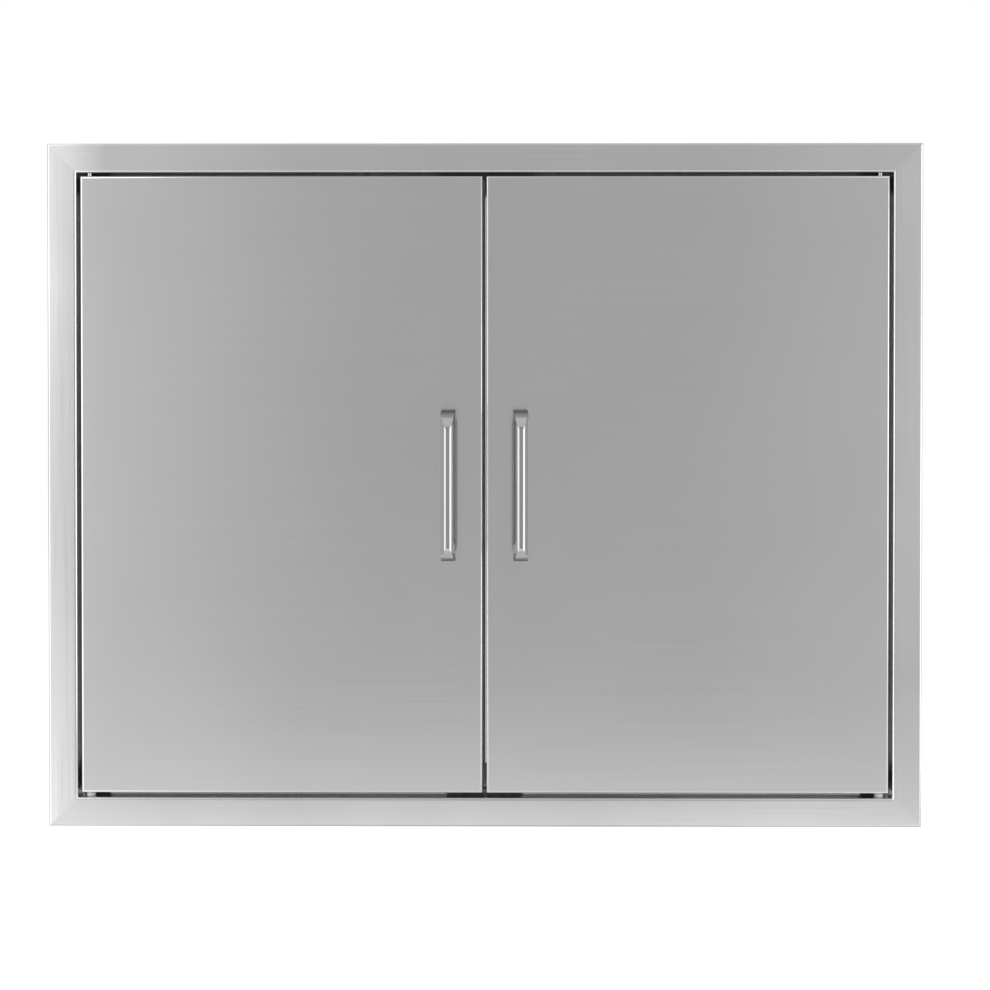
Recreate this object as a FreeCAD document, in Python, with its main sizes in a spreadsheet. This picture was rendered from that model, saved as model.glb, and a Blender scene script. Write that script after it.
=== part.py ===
import FreeCAD, Part
import math
import os

import Sketcher

# Double access door for a masonry barbecue island. Millimetres. The origin is the centre of the
# door opening, on the plane of the island's face that the frame rests against: X to the right,
# Y into the island, Z up.

SIZES = (
    ("FrameWidth", 787.0, "frame face, left to right"),
    ("FrameHeight", 616.0, "frame face, bottom to top"),
    ("FaceWidth", 26.5, "visible face of each frame member"),
    ("StandOff", 8.0, "frame face in front of the island's face"),
    ("FrameDepth", 50.8, "frame face to the back of the rear lip"),
    ("RearLip", 14.0, "rear lip, into the opening"),
    ("FrameSheet", 1.2, "sheet of the frame"),
    ("FrameBend", 2.4, "outer bend radius of the frame"),
    ("SideGap", 3.2, "door to stile"),
    ("CentreGap", 3.2, "door to door"),
    ("TopGap", 2.8, "door to top rail"),
    ("BottomGap", 4.0, "door to bottom rail"),
    ("DoorDepth", 20.0, "door, front to back"),
    ("DoorSheet", 1.0, "sheet of the door skin and liner"),
    ("DoorBend", 2.4, "outer bend radius of the door skin"),
    ("LinerReturn", 8.0, "liner's folded edge, front to back"),
    ("LinerBend", 1.8, "outer bend radius of the liner"),
    ("FitGap", 0.05, "clearance between pieces fixed to each other"),
    ("PivotInset", 7.0, "pivot axis from the hinged edge of the door"),
    ("PivotSetback", 7.0, "pivot axis behind the face"),
    ("PinDiameter", 4.0, "pivot pin"),
    ("PinEngagement", 12.0, "pin inside the door"),
    ("PinHeadWidth", 7.0, "head of the pivot pin, across its flats"),
    ("PinHeadHeight", 2.0, "head of the pivot pin"),
    ("RunningGap", 0.05, "radial clearance of the pin in its bush"),
    ("BushDiameter", 6.0, "outside of the bush"),
    ("BushFlangeDiameter", 7.6, "flange of the lower bush"),
    ("BushFlange", 1.3, "thickness of that flange"),
    ("ThrustGap", 0.1, "flange to thrust washer"),
    ("WasherDiameter", 8.0, "thrust washer"),
    ("BlockLength", 16.0, "pivot block, along the door"),
    ("BlockHeight", 14.0, "pivot block"),
    ("DoublerLength", 30.0, "doubler plate behind the jamb"),
    ("DoublerWidth", 16.0, "doubler plate"),
    ("DoublerSheet", 2.0, "doubler plate"),
    ("DoublerReach", 10.5, "doubler plate past the pivot axis, away from the doors' middle"),
    ("BendGap", 0.1, "plate or block to the bend that it lies beside"),
    ("PullLength", 134.0, "pull, end to end"),
    ("PullLevel", 1.4, "middle of the pull above the middle of the opening"),
    ("PullCentres", 127.0, "pull, screw to screw"),
    ("PullProjection", 32.0, "pull in front of the door"),
    ("PullBar", 10.2, "diameter of the pull's bar"),
    ("PullFootWidth", 13.4, "width of the pull's foot on the door"),
    ("PullFaceWidth", 10.4, "width of the foot's front"),
    ("PullFootHeight", 9.0, "height of the pull's foot"),
    ("PullBend", 13.0, "outer radius from foot to bar"),
    ("PullRound", 106.8, "round part of the bar, end to end"),
    ("PullFlare", 3.6, "cone from the round bar to the flat foot"),
    ("PullFlareDiameter", 15.4, "wide end of that cone, past the foot's corners"),
    ("PullInset", 30.6, "pull's centre line from the free edge"),
    ("PullScrew", 4.0, "screw of the pull"),
    ("PullScrewDepth", 10.0, "screw inside the foot"),
    ("ScrewHole", 4.5, "hole for that screw in sheet"),
    ("PullHeadWidth", 7.0, "head of that screw, across its flats"),
    ("PullHeadHeight", 2.8, "head of that screw"),
    ("BackerWidth", 20.0, "backing plate inside the skin"),
    ("BackerSheet", 1.5, "backing plate"),
    ("BackerOverhang", 10.0, "backing plate past the screws"),
    ("AccessHole", 14.0, "hole in the liner behind each screw"),
    ("PlugProud", 0.8, "plug behind the liner"),
    ("PlugLength", 4.0, "plug in that hole"),
    ("SealBase", 0.8, "meeting strip, stuck to the left door's edge"),
    ("SealWidth", 8.0, "meeting strip, front to back"),
    ("SealFin", 1.0, "fin of the meeting strip"),
    ("SealClearance", 0.5, "fin to the right door"),
    ("CatchLength", 90.0, "twin magnetic catch case"),
    ("CatchDepth", 15.0, "catch case"),
    ("CatchHeight", 18.0, "catch case"),
    ("CatchPitch", 44.0, "magnet to magnet"),
    ("CatchScrewPitch", 80.0, "screws of the catch case"),
    ("CatchProud", 0.5, "pole plates in front of the case"),
    ("CatchBevel", 1.5, "lower edges of the case"),
    ("CatchAir", 0.3, "pole plates to strike plate"),
    ("PoleLength", 26.0, "pole plate and magnet"),
    ("PoleDepth", 11.0, "pole plate, front to back"),
    ("PoleSheet", 1.2, "pole plate"),
    ("MagnetHeight", 4.0, "magnet between the pole plates"),
    ("StrikeLength", 34.0, "strike plate on the door"),
    ("StrikeHeight", 7.0, "strike plate"),
    ("StrikeSheet", 1.0, "strike plate, spot-welded to the liner"),
    ("StopLength", 70.0, "lower stop bracket, spot-welded to the rail"),
    ("StopHeight", 18.0, "lower stop bracket"),
    ("StopDepth", 20.0, "lower stop bracket"),
    ("StopSheet", 1.5, "lower stop bracket"),
    ("StopBend", 2.4, "outer bend radius of the lower stop bracket"),
    ("BumperAir", 0.3, "bumper to door"),
    ("BumperDiameter", 8.0, "rubber bumper"),
    ("BumperHeight", 3.0, "rubber bumper"),
    ("BumperPitch", 36.0, "bumper to bumper"),
    ("BumperLevel", 12.0, "bumper above the bottom rail"),
    ("SmallScrew", 3.2, "screws of the catch case"),
    ("SmallHead", 6.0, "head of those screws"),
    ("SmallHeadHeight", 1.8, "head of those screws"),
    ("SmallScrewEnd", 2.0, "point of those screws past the sheet"),
    ("JambHole", 5.0, "fixing hole in each stile"),
    ("JambHolePitch", 400.0, "fixing holes of one stile"),
    ("JambHoleDepth", 28.0, "fixing hole behind the island's face"),
    ("Overcut", 1.0, "cutting outline past the material that it cuts"),
)

doc = FreeCAD.newDocument("AccessDoor")
sheet = doc.addObject("Spreadsheet::Sheet", "Sizes")
for row, (alias, number, note) in enumerate(SIZES, start=1):
    sheet.set(f"A{row}", alias)
    sheet.set(f"B{row}", str(number))
    sheet.setAlias(f"B{row}", alias)
    sheet.set(f"C{row}", note)
doc.recompute()

# Lines and planes that several pieces share, as expressions on the sheet.
HALF_WIDTH = "(Sizes.FrameWidth / 2 - Sizes.FaceWidth)"
HALF_HEIGHT = "(Sizes.FrameHeight / 2 - Sizes.FaceWidth)"
FACE = "(-Sizes.StandOff)"
DOOR_BACK = "(Sizes.DoorDepth - Sizes.StandOff)"
DOOR_TOP = f"({HALF_HEIGHT} - Sizes.TopGap)"
DOOR_BOTTOM = f"(Sizes.BottomGap - {HALF_HEIGHT})"
HINGED_EDGE = f"({HALF_WIDTH} - Sizes.SideGap)"
FREE_EDGE = "(Sizes.CentreGap / 2)"
PIVOT_X = f"({HINGED_EDGE} - Sizes.PivotInset)"
PIVOT_Y = "(Sizes.PivotSetback - Sizes.StandOff)"
PULL_X = f"({FREE_EDGE} + Sizes.PullInset)"
LINER_FRONT = f"({DOOR_BACK} - Sizes.LinerReturn)"
BACKER_BACK = f"({FACE} + Sizes.DoorSheet + Sizes.FitGap + Sizes.BackerSheet)"
POLE_FRONT = f"({DOOR_BACK} + Sizes.StrikeSheet + Sizes.CatchAir)"
CASE_FRONT = f"({POLE_FRONT} + Sizes.CatchProud)"
CATCH_LEVEL = f"({HALF_HEIGHT} - Sizes.CatchHeight / 2)"
CATCH_SCREW_Y = f"({CASE_FRONT} + Sizes.CatchDepth - Sizes.SmallHead / 2)"
STOP_FRONT = f"({DOOR_BACK} + Sizes.BumperAir + Sizes.BumperHeight)"
SIDES = (("left", -1), ("right", 1))
ACROSS = FreeCAD.Vector(1, 0, 0)

# What each file holds: label of the sub-part and the object that carries its shape.
sub_parts = []


def measure(expression):
    """Number that an expression on the sheet stands for."""
    return float(sheet.evalExpression(expression))


def keep(label, thing):
    """Give a finished sub-part the label that names its file."""
    thing.Label = label
    sub_parts.append(thing)
    return thing


def new_body(name):
    return doc.addObject("PartDesign::Body", name)


def new_sketch(body, name, role, level="0"):
    """Sketch on one of the body's own origin planes, moved along its normal by level."""
    sketch = body.newObject("Sketcher::SketchObject", f"{body.Name}_{name}")
    plane = next(item for item in body.Origin.OriginFeatures if item.Role == role)
    sketch.AttachmentSupport = [(plane, "")]
    sketch.MapMode = "FlatFace"
    sketch.setExpression(".AttachmentOffset.Base.z", level)
    return sketch


def fix_point(sketch, geometry, point, across, up):
    """Hold a point of the sketch at two expressions from the sketch's origin."""
    for kind, expression in (("DistanceX", across), ("DistanceY", up)):
        rule = Sketcher.Constraint(kind, -1, 1, geometry, point, measure(expression))
        index = sketch.addConstraint(rule)
        sketch.setExpression(f"Constraints[{index}]", expression)


def draw_outline(sketch, corners):
    """Closed outline of straight edges through corners given as pairs of expressions."""
    first = sketch.GeometryCount
    count = len(corners)
    places = [FreeCAD.Vector(measure(across), measure(up), 0) for across, up in corners]
    for index in range(count):
        edge = Part.LineSegment(places[index], places[(index + 1) % count])
        sketch.addGeometry(edge, False)
    for index in range(count):
        following = first + (index + 1) % count
        sketch.addConstraint(Sketcher.Constraint("Coincident", first + index, 2, following, 1))
    for index, (across, up) in enumerate(corners):
        fix_point(sketch, first + index, 1, across, up)


def draw_box(sketch, left, right, bottom, top):
    draw_outline(sketch, [(left, bottom), (right, bottom), (right, top), (left, top)])


def draw_circle(sketch, across, up, diameter):
    centre = FreeCAD.Vector(measure(across), measure(up), 0)
    normal = FreeCAD.Vector(0, 0, 1)
    circle = sketch.addGeometry(Part.Circle(centre, normal, measure(diameter) / 2), False)
    fix_point(sketch, circle, 3, across, up)
    rule = Sketcher.Constraint("Diameter", circle, measure(diameter))
    index = sketch.addConstraint(rule)
    sketch.setExpression(f"Constraints[{index}]", diameter)


def pad(body, sketch, length, side="One side", backwards=False):
    feature = body.newObject("PartDesign::Pad", f"{sketch.Name}_pad")
    feature.Profile = sketch
    feature.SideType = side
    feature.Reversed = backwards
    feature.setExpression("Length", length)
    sketch.Visibility = False
    doc.recompute()
    return feature


def pocket(body, sketch, length=None, side="One side", backwards=False):
    """Pocket of a given length, or through everything, that must take material away."""
    before = body.Shape.Volume
    feature = body.newObject("PartDesign::Pocket", f"{sketch.Name}_pocket")
    feature.Profile = sketch
    feature.SideType = side
    feature.Reversed = backwards
    if length is None:
        feature.Type = "ThroughAll"
    else:
        feature.setExpression("Length", length)
    doc.recompute()
    if body.Shape.Volume > before - 0.01:
        raise ValueError(f"{feature.Name} cuts nothing")
    return feature


def edges_where(shape, test, along=None):
    """Names of the edges whose two ends both pass the test, in one direction or in any."""
    found = []
    for index, edge in enumerate(shape.Edges, start=1):
        ends = [vertex.Point for vertex in edge.Vertexes]
        if len(ends) != 2 or not all(test(end) for end in ends):
            continue
        run = (ends[1] - ends[0]).normalize()
        if along is None or abs(run.dot(along)) > 0.999:
            found.append(f"Edge{index}")
    return found


def round_edges(body, base, radius, test, along=None):
    feature = body.newObject("PartDesign::Fillet", f"{base.Name}_fillet")
    feature.Base = (base, edges_where(base.Shape, test, along))
    feature.setExpression("Radius", radius)
    doc.recompute()
    return feature


def bevel_edges(body, base, size, test):
    feature = body.newObject("PartDesign::Chamfer", f"{base.Name}_chamfer")
    feature.Base = (base, edges_where(base.Shape, test))
    feature.setExpression("Size", size)
    doc.recompute()
    return feature


def near(value, expression):
    return abs(value - measure(expression)) < 0.001


def hollow(body, base, wall, open_level):
    """Shell of one wall thickness, open on the face that lies at y = open_level."""
    faces = []
    for index, face in enumerate(base.Shape.Faces, start=1):
        box = face.BoundBox
        if near(box.YMin, open_level) and near(box.YMax, open_level):
            faces.append(f"Face{index}")
    feature = body.newObject("PartDesign::Thickness", f"{base.Name}_shell")
    feature.Base = (base, faces)
    feature.setExpression("Value", wall)
    feature.Reversed = True
    feature.Mode = "Skin"
    feature.Join = "Arc"
    doc.recompute()
    return feature


def set_place(thing, x="0", y="0", z="0", axis=(0, 0, 1), angle=0):
    turn = FreeCAD.Rotation(FreeCAD.Vector(*axis), angle)
    thing.Placement = FreeCAD.Placement(FreeCAD.Vector(0, 0, 0), turn)
    for letter, expression in (("x", x), ("y", y), ("z", z)):
        thing.setExpression(f".Placement.Base.{letter}", expression)


def turned(name, outline):
    """Body of revolution about its own Z axis from (radius, height) corners."""
    body = new_body(name)
    sketch = new_sketch(body, "profile", "XZ_Plane")
    draw_outline(sketch, outline)
    feature = body.newObject("PartDesign::Revolution", f"{name}_turn")
    feature.Profile = sketch
    feature.ReferenceAxis = (sketch, ["V_Axis"])
    feature.Angle = 360
    doc.recompute()
    return body


def stepped(name, head_diameter, head_height, shank_diameter, shank_length):
    """Headed pin, screw or rivet: head above the body's origin, shank below it."""
    head = f"{head_diameter} / 2"
    shank = f"{shank_diameter} / 2"
    return turned(name, [
        ("0", f"-({shank_length})"), (shank, f"-({shank_length})"), (shank, "0"),
        (head, "0"), (head, head_height), ("0", head_height),
    ])


def hexagon(width):
    """Corners of a hexagon as wide as width across its flats."""
    corners = []
    for index in range(6):
        angle = math.radians(60 * index)
        reach = f"{width} / {math.sqrt(3):.6f}"
        corners.append((f"{math.cos(angle):.6f} * {reach}", f"{math.sin(angle):.6f} * {reach}"))
    return corners


def bolt(name, head_width, head_height, shank_diameter, shank_length):
    """Bolt or pin with a hexagonal head: head above the body's origin, shank below it."""
    body = new_body(name)
    head = new_sketch(body, "head", "XY_Plane")
    draw_outline(head, hexagon(head_width))
    pad(body, head, head_height)
    shank = new_sketch(body, "shank", "XY_Plane")
    draw_circle(shank, "0", "0", shank_diameter)
    pad(body, shank, shank_length, backwards=True)
    return body


def ring(name, inner_diameter, outer_diameter, height):
    inner = f"({inner_diameter}) / 2"
    outer = f"({outer_diameter}) / 2"
    return turned(name, [(inner, "0"), (outer, "0"), (outer, height), (inner, height)])


def group(label, members):
    """Identical pieces that share one file."""
    compound = doc.addObject("Part::Compound", label)
    compound.Links = members
    doc.recompute()
    return keep(label, compound)


def frame_member(label, along, across, angle, holes):
    """Folded channel with mitred ends, drawn as the top rail and turned into its place.

    along and across are half the opening, in line with the member and square to it. holes are
    (x, y, diameter) through the jamb.
    """
    body = new_body(label)
    section = new_sketch(body, "section", "YZ_Plane")
    lip_back = "(Sizes.FrameDepth - Sizes.StandOff)"
    lip_front = f"({lip_back} - Sizes.FrameSheet)"
    face_back = f"({FACE} + Sizes.FrameSheet)"
    jamb_back = f"({across} + Sizes.FrameSheet)"
    outer = f"({across} + Sizes.FaceWidth)"
    return_back = f"({outer} - Sizes.FrameSheet)"
    lip_edge = f"({across} - Sizes.RearLip)"
    draw_outline(section, [
        ("0", outer), (FACE, outer), (FACE, across), (lip_front, across), (lip_front, lip_edge),
        (lip_back, lip_edge), (lip_back, jamb_back), (face_back, jamb_back),
        (face_back, return_back), ("0", return_back),
    ])
    length = f"2 * ({along} + Sizes.FaceWidth)"
    channel = pad(body, section, length, side="Symmetric")

    def at(point, corners):
        return any(near(point.y, y) and near(point.z, z) for y, z in corners)

    outside = [(FACE, outer), (FACE, across), (lip_back, jamb_back)]
    inside = [(face_back, jamb_back), (face_back, return_back), (lip_front, across)]
    bent = round_edges(body, channel, "Sizes.FrameBend", lambda p: at(p, outside), ACROSS)
    inner_bend = "Sizes.FrameBend - Sizes.FrameSheet"
    round_edges(body, bent, inner_bend, lambda p: at(p, inside), ACROSS)

    mitres = new_sketch(body, "mitres", "XZ_Plane", "Sizes.StandOff + Sizes.Overcut")
    inner_reach = "(Sizes.RearLip + Sizes.Overcut)"
    outer_reach = "(Sizes.FaceWidth + Sizes.Overcut)"
    for sign in ("-", ""):
        draw_outline(mitres, [
            (f"{sign}({along} - {inner_reach})", f"{across} - {inner_reach}"),
            (f"{sign}({along} + {outer_reach})", f"{across} + {outer_reach}"),
            (f"{sign}({along} + {outer_reach})", f"{across} - {inner_reach}"),
        ])
    pocket(body, mitres)

    drilling = new_sketch(body, "holes", "XY_Plane", f"{jamb_back} + Sizes.Overcut")
    for across_hole, depth, diameter in holes:
        draw_circle(drilling, across_hole, depth, diameter)
    pocket(body, drilling, "Sizes.FrameSheet + 2 * Sizes.Overcut")
    set_place(body, axis=(0, 1, 0), angle=angle)
    return keep(label, body)


def build_frame():
    pin_hole = "Sizes.PinDiameter + 2 * Sizes.FitGap"
    screw_hole = "Sizes.SmallScrew + 2 * Sizes.FitGap"
    pins = [(f"{sign}{PIVOT_X}", PIVOT_Y, pin_hole) for sign in ("-", "")]
    catch_holes = [
        (f"{end} * Sizes.CatchScrewPitch / 2", CATCH_SCREW_Y, screw_hole) for end in (-1, 1)
    ]
    jamb_holes = [
        (f"{end} * Sizes.JambHolePitch / 2", "Sizes.JambHoleDepth", "Sizes.JambHole")
        for end in (-1, 1)
    ]
    frame_member("frame_top_rail", HALF_WIDTH, HALF_HEIGHT, 0, pins + catch_holes)
    frame_member("frame_bottom_rail", HALF_WIDTH, HALF_HEIGHT, 180, pins)
    frame_member("frame_left_stile", HALF_HEIGHT, HALF_WIDTH, -90, jamb_holes)
    frame_member("frame_right_stile", HALF_HEIGHT, HALF_WIDTH, 90, jamb_holes)


def build_pivots():
    """Doubler plates, pins and thrust washers that the frame carries at the door corners."""
    jamb_back = f"({HALF_HEIGHT} + Sizes.FrameSheet)"
    plate_front = f"({FACE} + Sizes.FrameBend + Sizes.BendGap)"
    plate_end = f"({PIVOT_X} + Sizes.DoublerReach)"
    plates = []
    for side_name, side in SIDES:
        for level_name, level in (("top", 1), ("bottom", -1)):
            body = new_body(f"doubler_{side_name}_{level_name}")
            sketch = new_sketch(body, "plate", "XY_Plane", jamb_back)
            draw_box(sketch, f"{side} * {plate_end}",
                     f"{side} * ({plate_end} - Sizes.DoublerLength)",
                     plate_front, f"{plate_front} + Sizes.DoublerWidth")
            pad(body, sketch, "Sizes.DoublerSheet")
            hole = new_sketch(body, "hole", "XY_Plane",
                              f"{jamb_back} + Sizes.DoublerSheet + Sizes.Overcut")
            draw_circle(hole, f"{side} * {PIVOT_X}", PIVOT_Y,
                        "Sizes.PinDiameter + 2 * Sizes.FitGap")
            pocket(body, hole)
            if level < 0:
                body = mirrored(body, (0, 0, 1))
            plates.append(body)
    group("pivot_doubler_plates", plates)

    seat = f"({jamb_back} + Sizes.DoublerSheet)"
    for level_name, level, door_edge in (("top", 1, DOOR_TOP), ("bottom", -1, DOOR_BOTTOM)):
        pins = []
        for side_name, side in SIDES:
            length = f"{seat} - {level} * {door_edge} + Sizes.PinEngagement"
            pin = bolt(f"pin_{level_name}_{side_name}", "Sizes.PinHeadWidth",
                       "Sizes.PinHeadHeight", "Sizes.PinDiameter", length)
            flip = 0 if level > 0 else 180
            set_place(pin, f"{side} * {PIVOT_X}", PIVOT_Y, f"{level} * {seat}", (1, 0, 0), flip)
            pins.append(pin)
        group(f"{level_name}_pivot_pins", pins)

    washers = []
    for side_name, side in SIDES:
        height = "Sizes.BottomGap - Sizes.BushFlange - Sizes.ThrustGap"
        washer = ring(f"washer_{side_name}", "Sizes.PinDiameter + 2 * Sizes.FitGap",
                      "Sizes.WasherDiameter", height)
        set_place(washer, f"{side} * {PIVOT_X}", PIVOT_Y, f"-{HALF_HEIGHT}")
        washers.append(washer)
    group("bottom_pivot_washers", washers)


def mirrored(source, normal):
    """Mirror image of an object about a plane through the origin."""
    image = doc.addObject("Part::Mirroring", f"{source.Name}_image")
    image.Source = source
    image.Base = (0, 0, 0)
    image.Normal = normal
    doc.recompute()
    return image


def build_catch():
    """Twin magnetic catch under the top rail: case, two magnets between pole plates, screws."""
    bottom = f"({HALF_HEIGHT} - Sizes.CatchHeight)"
    slot_half = "(Sizes.MagnetHeight / 2 + Sizes.PoleSheet + Sizes.FitGap)"
    slot_depth = "(Sizes.PoleDepth - Sizes.CatchProud + Sizes.FitGap)"
    case = new_body("catch_case")
    plan = new_sketch(case, "plan", "XY_Plane", bottom)
    draw_box(plan, "-Sizes.CatchLength / 2", "Sizes.CatchLength / 2", CASE_FRONT,
             f"{CASE_FRONT} + Sizes.CatchDepth")
    block = pad(case, plan, "Sizes.CatchHeight")
    bevel_edges(case, block, "Sizes.CatchBevel", lambda p: near(p.z, bottom))
    slots = new_sketch(case, "slots", "XZ_Plane", f"-{CASE_FRONT} + Sizes.Overcut")
    holes = new_sketch(case, "holes", "XY_Plane", f"{HALF_HEIGHT} + Sizes.Overcut")
    magnets = []
    poles = []
    screws = []
    for name, side in SIDES:
        centre = f"{side} * Sizes.CatchPitch / 2"
        left = f"{centre} - Sizes.PoleLength / 2"
        right = f"{centre} + Sizes.PoleLength / 2"
        draw_box(slots, f"{left} - Sizes.FitGap", f"{right} + Sizes.FitGap",
                 f"{CATCH_LEVEL} - {slot_half}", f"{CATCH_LEVEL} + {slot_half}")
        magnet = new_body(f"magnet_{name}")
        plan = new_sketch(magnet, "plan", "XY_Plane", f"{CATCH_LEVEL} - Sizes.MagnetHeight / 2")
        draw_box(plan, left, right, f"{CASE_FRONT} + Sizes.CatchProud",
                 f"{POLE_FRONT} + Sizes.PoleDepth")
        pad(magnet, plan, "Sizes.MagnetHeight")
        magnets.append(magnet)
        for level in (-1, 1):
            pole = new_body(f"pole_{name}_{level + 1}")
            seat = f"{CATCH_LEVEL} + {level} * Sizes.MagnetHeight / 2"
            plan = new_sketch(pole, "plan", "XY_Plane", seat)
            draw_box(plan, left, right, POLE_FRONT, f"{POLE_FRONT} + Sizes.PoleDepth")
            pad(pole, plan, "Sizes.PoleSheet", backwards=level < 0)
            poles.append(pole)
        place = f"{side} * Sizes.CatchScrewPitch / 2"
        draw_circle(holes, place, CATCH_SCREW_Y, "Sizes.SmallScrew + 2 * Sizes.FitGap")
        screw = stepped(f"catch_screw_{name}", "Sizes.SmallHead", "Sizes.SmallHeadHeight",
                        "Sizes.SmallScrew",
                        "Sizes.CatchHeight + Sizes.FrameSheet + Sizes.SmallScrewEnd")
        set_place(screw, place, CATCH_SCREW_Y, bottom, (1, 0, 0), 180)
        screws.append(screw)
    pocket(case, slots, f"{slot_depth} + Sizes.Overcut")
    pocket(case, holes)
    keep("catch_case", case)
    group("catch_magnets", magnets)
    group("catch_pole_plates", poles)
    group("catch_screws", screws)


def build_stop():
    """Folded bracket on the bottom rail whose two rubber bumpers meet the doors' backs."""
    sill = f"(-{HALF_HEIGHT})"
    body = new_body("lower_stop_bracket")
    fold = new_sketch(body, "fold", "YZ_Plane")
    upright_back = f"({STOP_FRONT} + Sizes.StopSheet)"
    foot_top = f"({sill} + Sizes.StopSheet)"
    draw_outline(fold, [
        (STOP_FRONT, sill), (f"{STOP_FRONT} + Sizes.StopDepth", sill),
        (f"{STOP_FRONT} + Sizes.StopDepth", foot_top), (upright_back, foot_top),
        (upright_back, f"{sill} + Sizes.StopHeight"), (STOP_FRONT, f"{sill} + Sizes.StopHeight"),
    ])
    plate = pad(body, fold, "Sizes.StopLength", side="Symmetric")
    bent = round_edges(body, plate, "Sizes.StopBend",
                       lambda p: near(p.y, STOP_FRONT) and near(p.z, sill), ACROSS)
    round_edges(body, bent, "Sizes.StopBend - Sizes.StopSheet",
                lambda p: near(p.y, upright_back) and near(p.z, foot_top), ACROSS)
    keep("lower_stop_bracket", body)
    bumpers = []
    for name, side in SIDES:
        bumper = turned(f"bumper_{name}", [
            ("0", "0"), ("Sizes.BumperDiameter / 2", "0"),
            ("Sizes.BumperDiameter / 2", "Sizes.BumperHeight"), ("0", "Sizes.BumperHeight"),
        ])
        set_place(bumper, f"{side} * Sizes.BumperPitch / 2", STOP_FRONT,
                  f"{sill} + Sizes.BumperLevel", (1, 0, 0), 90)
        bumpers.append(bumper)
    group("stop_bumpers", bumpers)


def pull_places(side):
    """Where the two screws of a door's pull sit, as (x, z)."""
    return [
        (f"{side} * {PULL_X}", f"Sizes.PullLevel + {end} * Sizes.PullCentres / 2")
        for end in (-1, 1)
    ]


def pan(label, left, right, bottom, top, back, depth, bend, bent_level, open_level):
    """Folded pan: a block with rounded edges at bent_level, shelled open at open_level."""
    body = new_body(label)
    outline = new_sketch(body, "outline", "XZ_Plane", f"-{back}")
    draw_box(outline, left, right, bottom, top)
    block = pad(body, outline, depth)
    bent = round_edges(body, block, bend, lambda p: near(p.y, bent_level))
    hollow(body, bent, "Sizes.DoorSheet", open_level)
    return body


def door_skin(name, side):
    skin = pan(f"{name}_skin", f"{side} * {FREE_EDGE}", f"{side} * {HINGED_EDGE}", DOOR_BOTTOM,
               DOOR_TOP, DOOR_BACK, "Sizes.DoorDepth", "Sizes.DoorBend", FACE, DOOR_BACK)
    screws = new_sketch(skin, "screws", "XZ_Plane", "Sizes.StandOff + Sizes.Overcut")
    for across, level in pull_places(side):
        draw_circle(screws, across, level, "Sizes.ScrewHole")
    pocket(skin, screws, "Sizes.DoorSheet + 2 * Sizes.Overcut")
    bushes = new_sketch(skin, "bushes", "XY_Plane")
    draw_circle(bushes, f"{side} * {PIVOT_X}", PIVOT_Y, "Sizes.BushDiameter + 2 * Sizes.FitGap")
    pocket(skin, bushes, side="Symmetric")
    return keep(f"{name}_skin", skin)


def door_liner(name, side):
    inset = "(Sizes.DoorSheet + Sizes.FitGap)"
    liner = pan(f"{name}_liner", f"{side} * ({FREE_EDGE} + {inset})",
                f"{side} * ({HINGED_EDGE} - {inset})", f"{DOOR_BOTTOM} + {inset}",
                f"{DOOR_TOP} - {inset}", DOOR_BACK, "Sizes.LinerReturn", "Sizes.LinerBend",
                DOOR_BACK, LINER_FRONT)
    holes = new_sketch(liner, "holes", "XZ_Plane")
    for across, level in pull_places(side):
        draw_circle(holes, across, level, "Sizes.AccessHole")
    pocket(liner, holes, side="Symmetric")
    return keep(f"{name}_liner", liner)


def door_pivot_parts(name, side):
    """Blocks held between skin and liner in a door's hinged corners, with their bushes."""
    blocks = []
    bushes = []
    wall = "(Sizes.DoorSheet + Sizes.FitGap)"
    bore = "Sizes.PinDiameter + 2 * Sizes.RunningGap"
    front = f"({FACE} + {wall})"
    outer = f"({HINGED_EDGE} - {wall})"
    for level_name, level, edge in (("top", 1, DOOR_TOP), ("bottom", -1, DOOR_BOTTOM)):
        block = new_body(f"{name}_block_{level_name}")
        plan = new_sketch(block, "plan", "XY_Plane", f"{edge} - {level} * {wall}")
        draw_box(plan, f"{side} * {outer}", f"{side} * ({outer} - Sizes.BlockLength)", front,
                 f"{LINER_FRONT} - Sizes.FitGap")
        lump = pad(block, plan, "Sizes.BlockHeight", backwards=level > 0)
        bevel_edges(block, lump, "Sizes.DoorBend - Sizes.DoorSheet + Sizes.BendGap",
                    lambda p: near(p.y, front))
        hole = new_sketch(block, "bore", "XY_Plane", edge)
        draw_circle(hole, f"{side} * {PIVOT_X}", PIVOT_Y, "Sizes.BushDiameter + 2 * Sizes.FitGap")
        pocket(block, hole, side="Symmetric")
        blocks.append(block)

        height = f"({wall} + Sizes.BlockHeight)"
        inner = f"({bore}) / 2"
        outside = "Sizes.BushDiameter / 2"
        if level > 0:
            bush = ring(f"{name}_bush_top", bore, "Sizes.BushDiameter", height)
            set_place(bush, f"{side} * {PIVOT_X}", PIVOT_Y, f"{edge} - {height}")
        else:
            flange = "Sizes.BushFlangeDiameter / 2"
            bush = turned(f"{name}_bush_bottom", [
                (inner, "-Sizes.BushFlange"), (flange, "-Sizes.BushFlange"), (flange, "0"),
                (outside, "0"), (outside, height), (inner, height),
            ])
            set_place(bush, f"{side} * {PIVOT_X}", PIVOT_Y, edge)
        bushes.append(bush)
    group(f"{name}_pivot_blocks", blocks)
    group(f"{name}_bushes", bushes)


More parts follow.
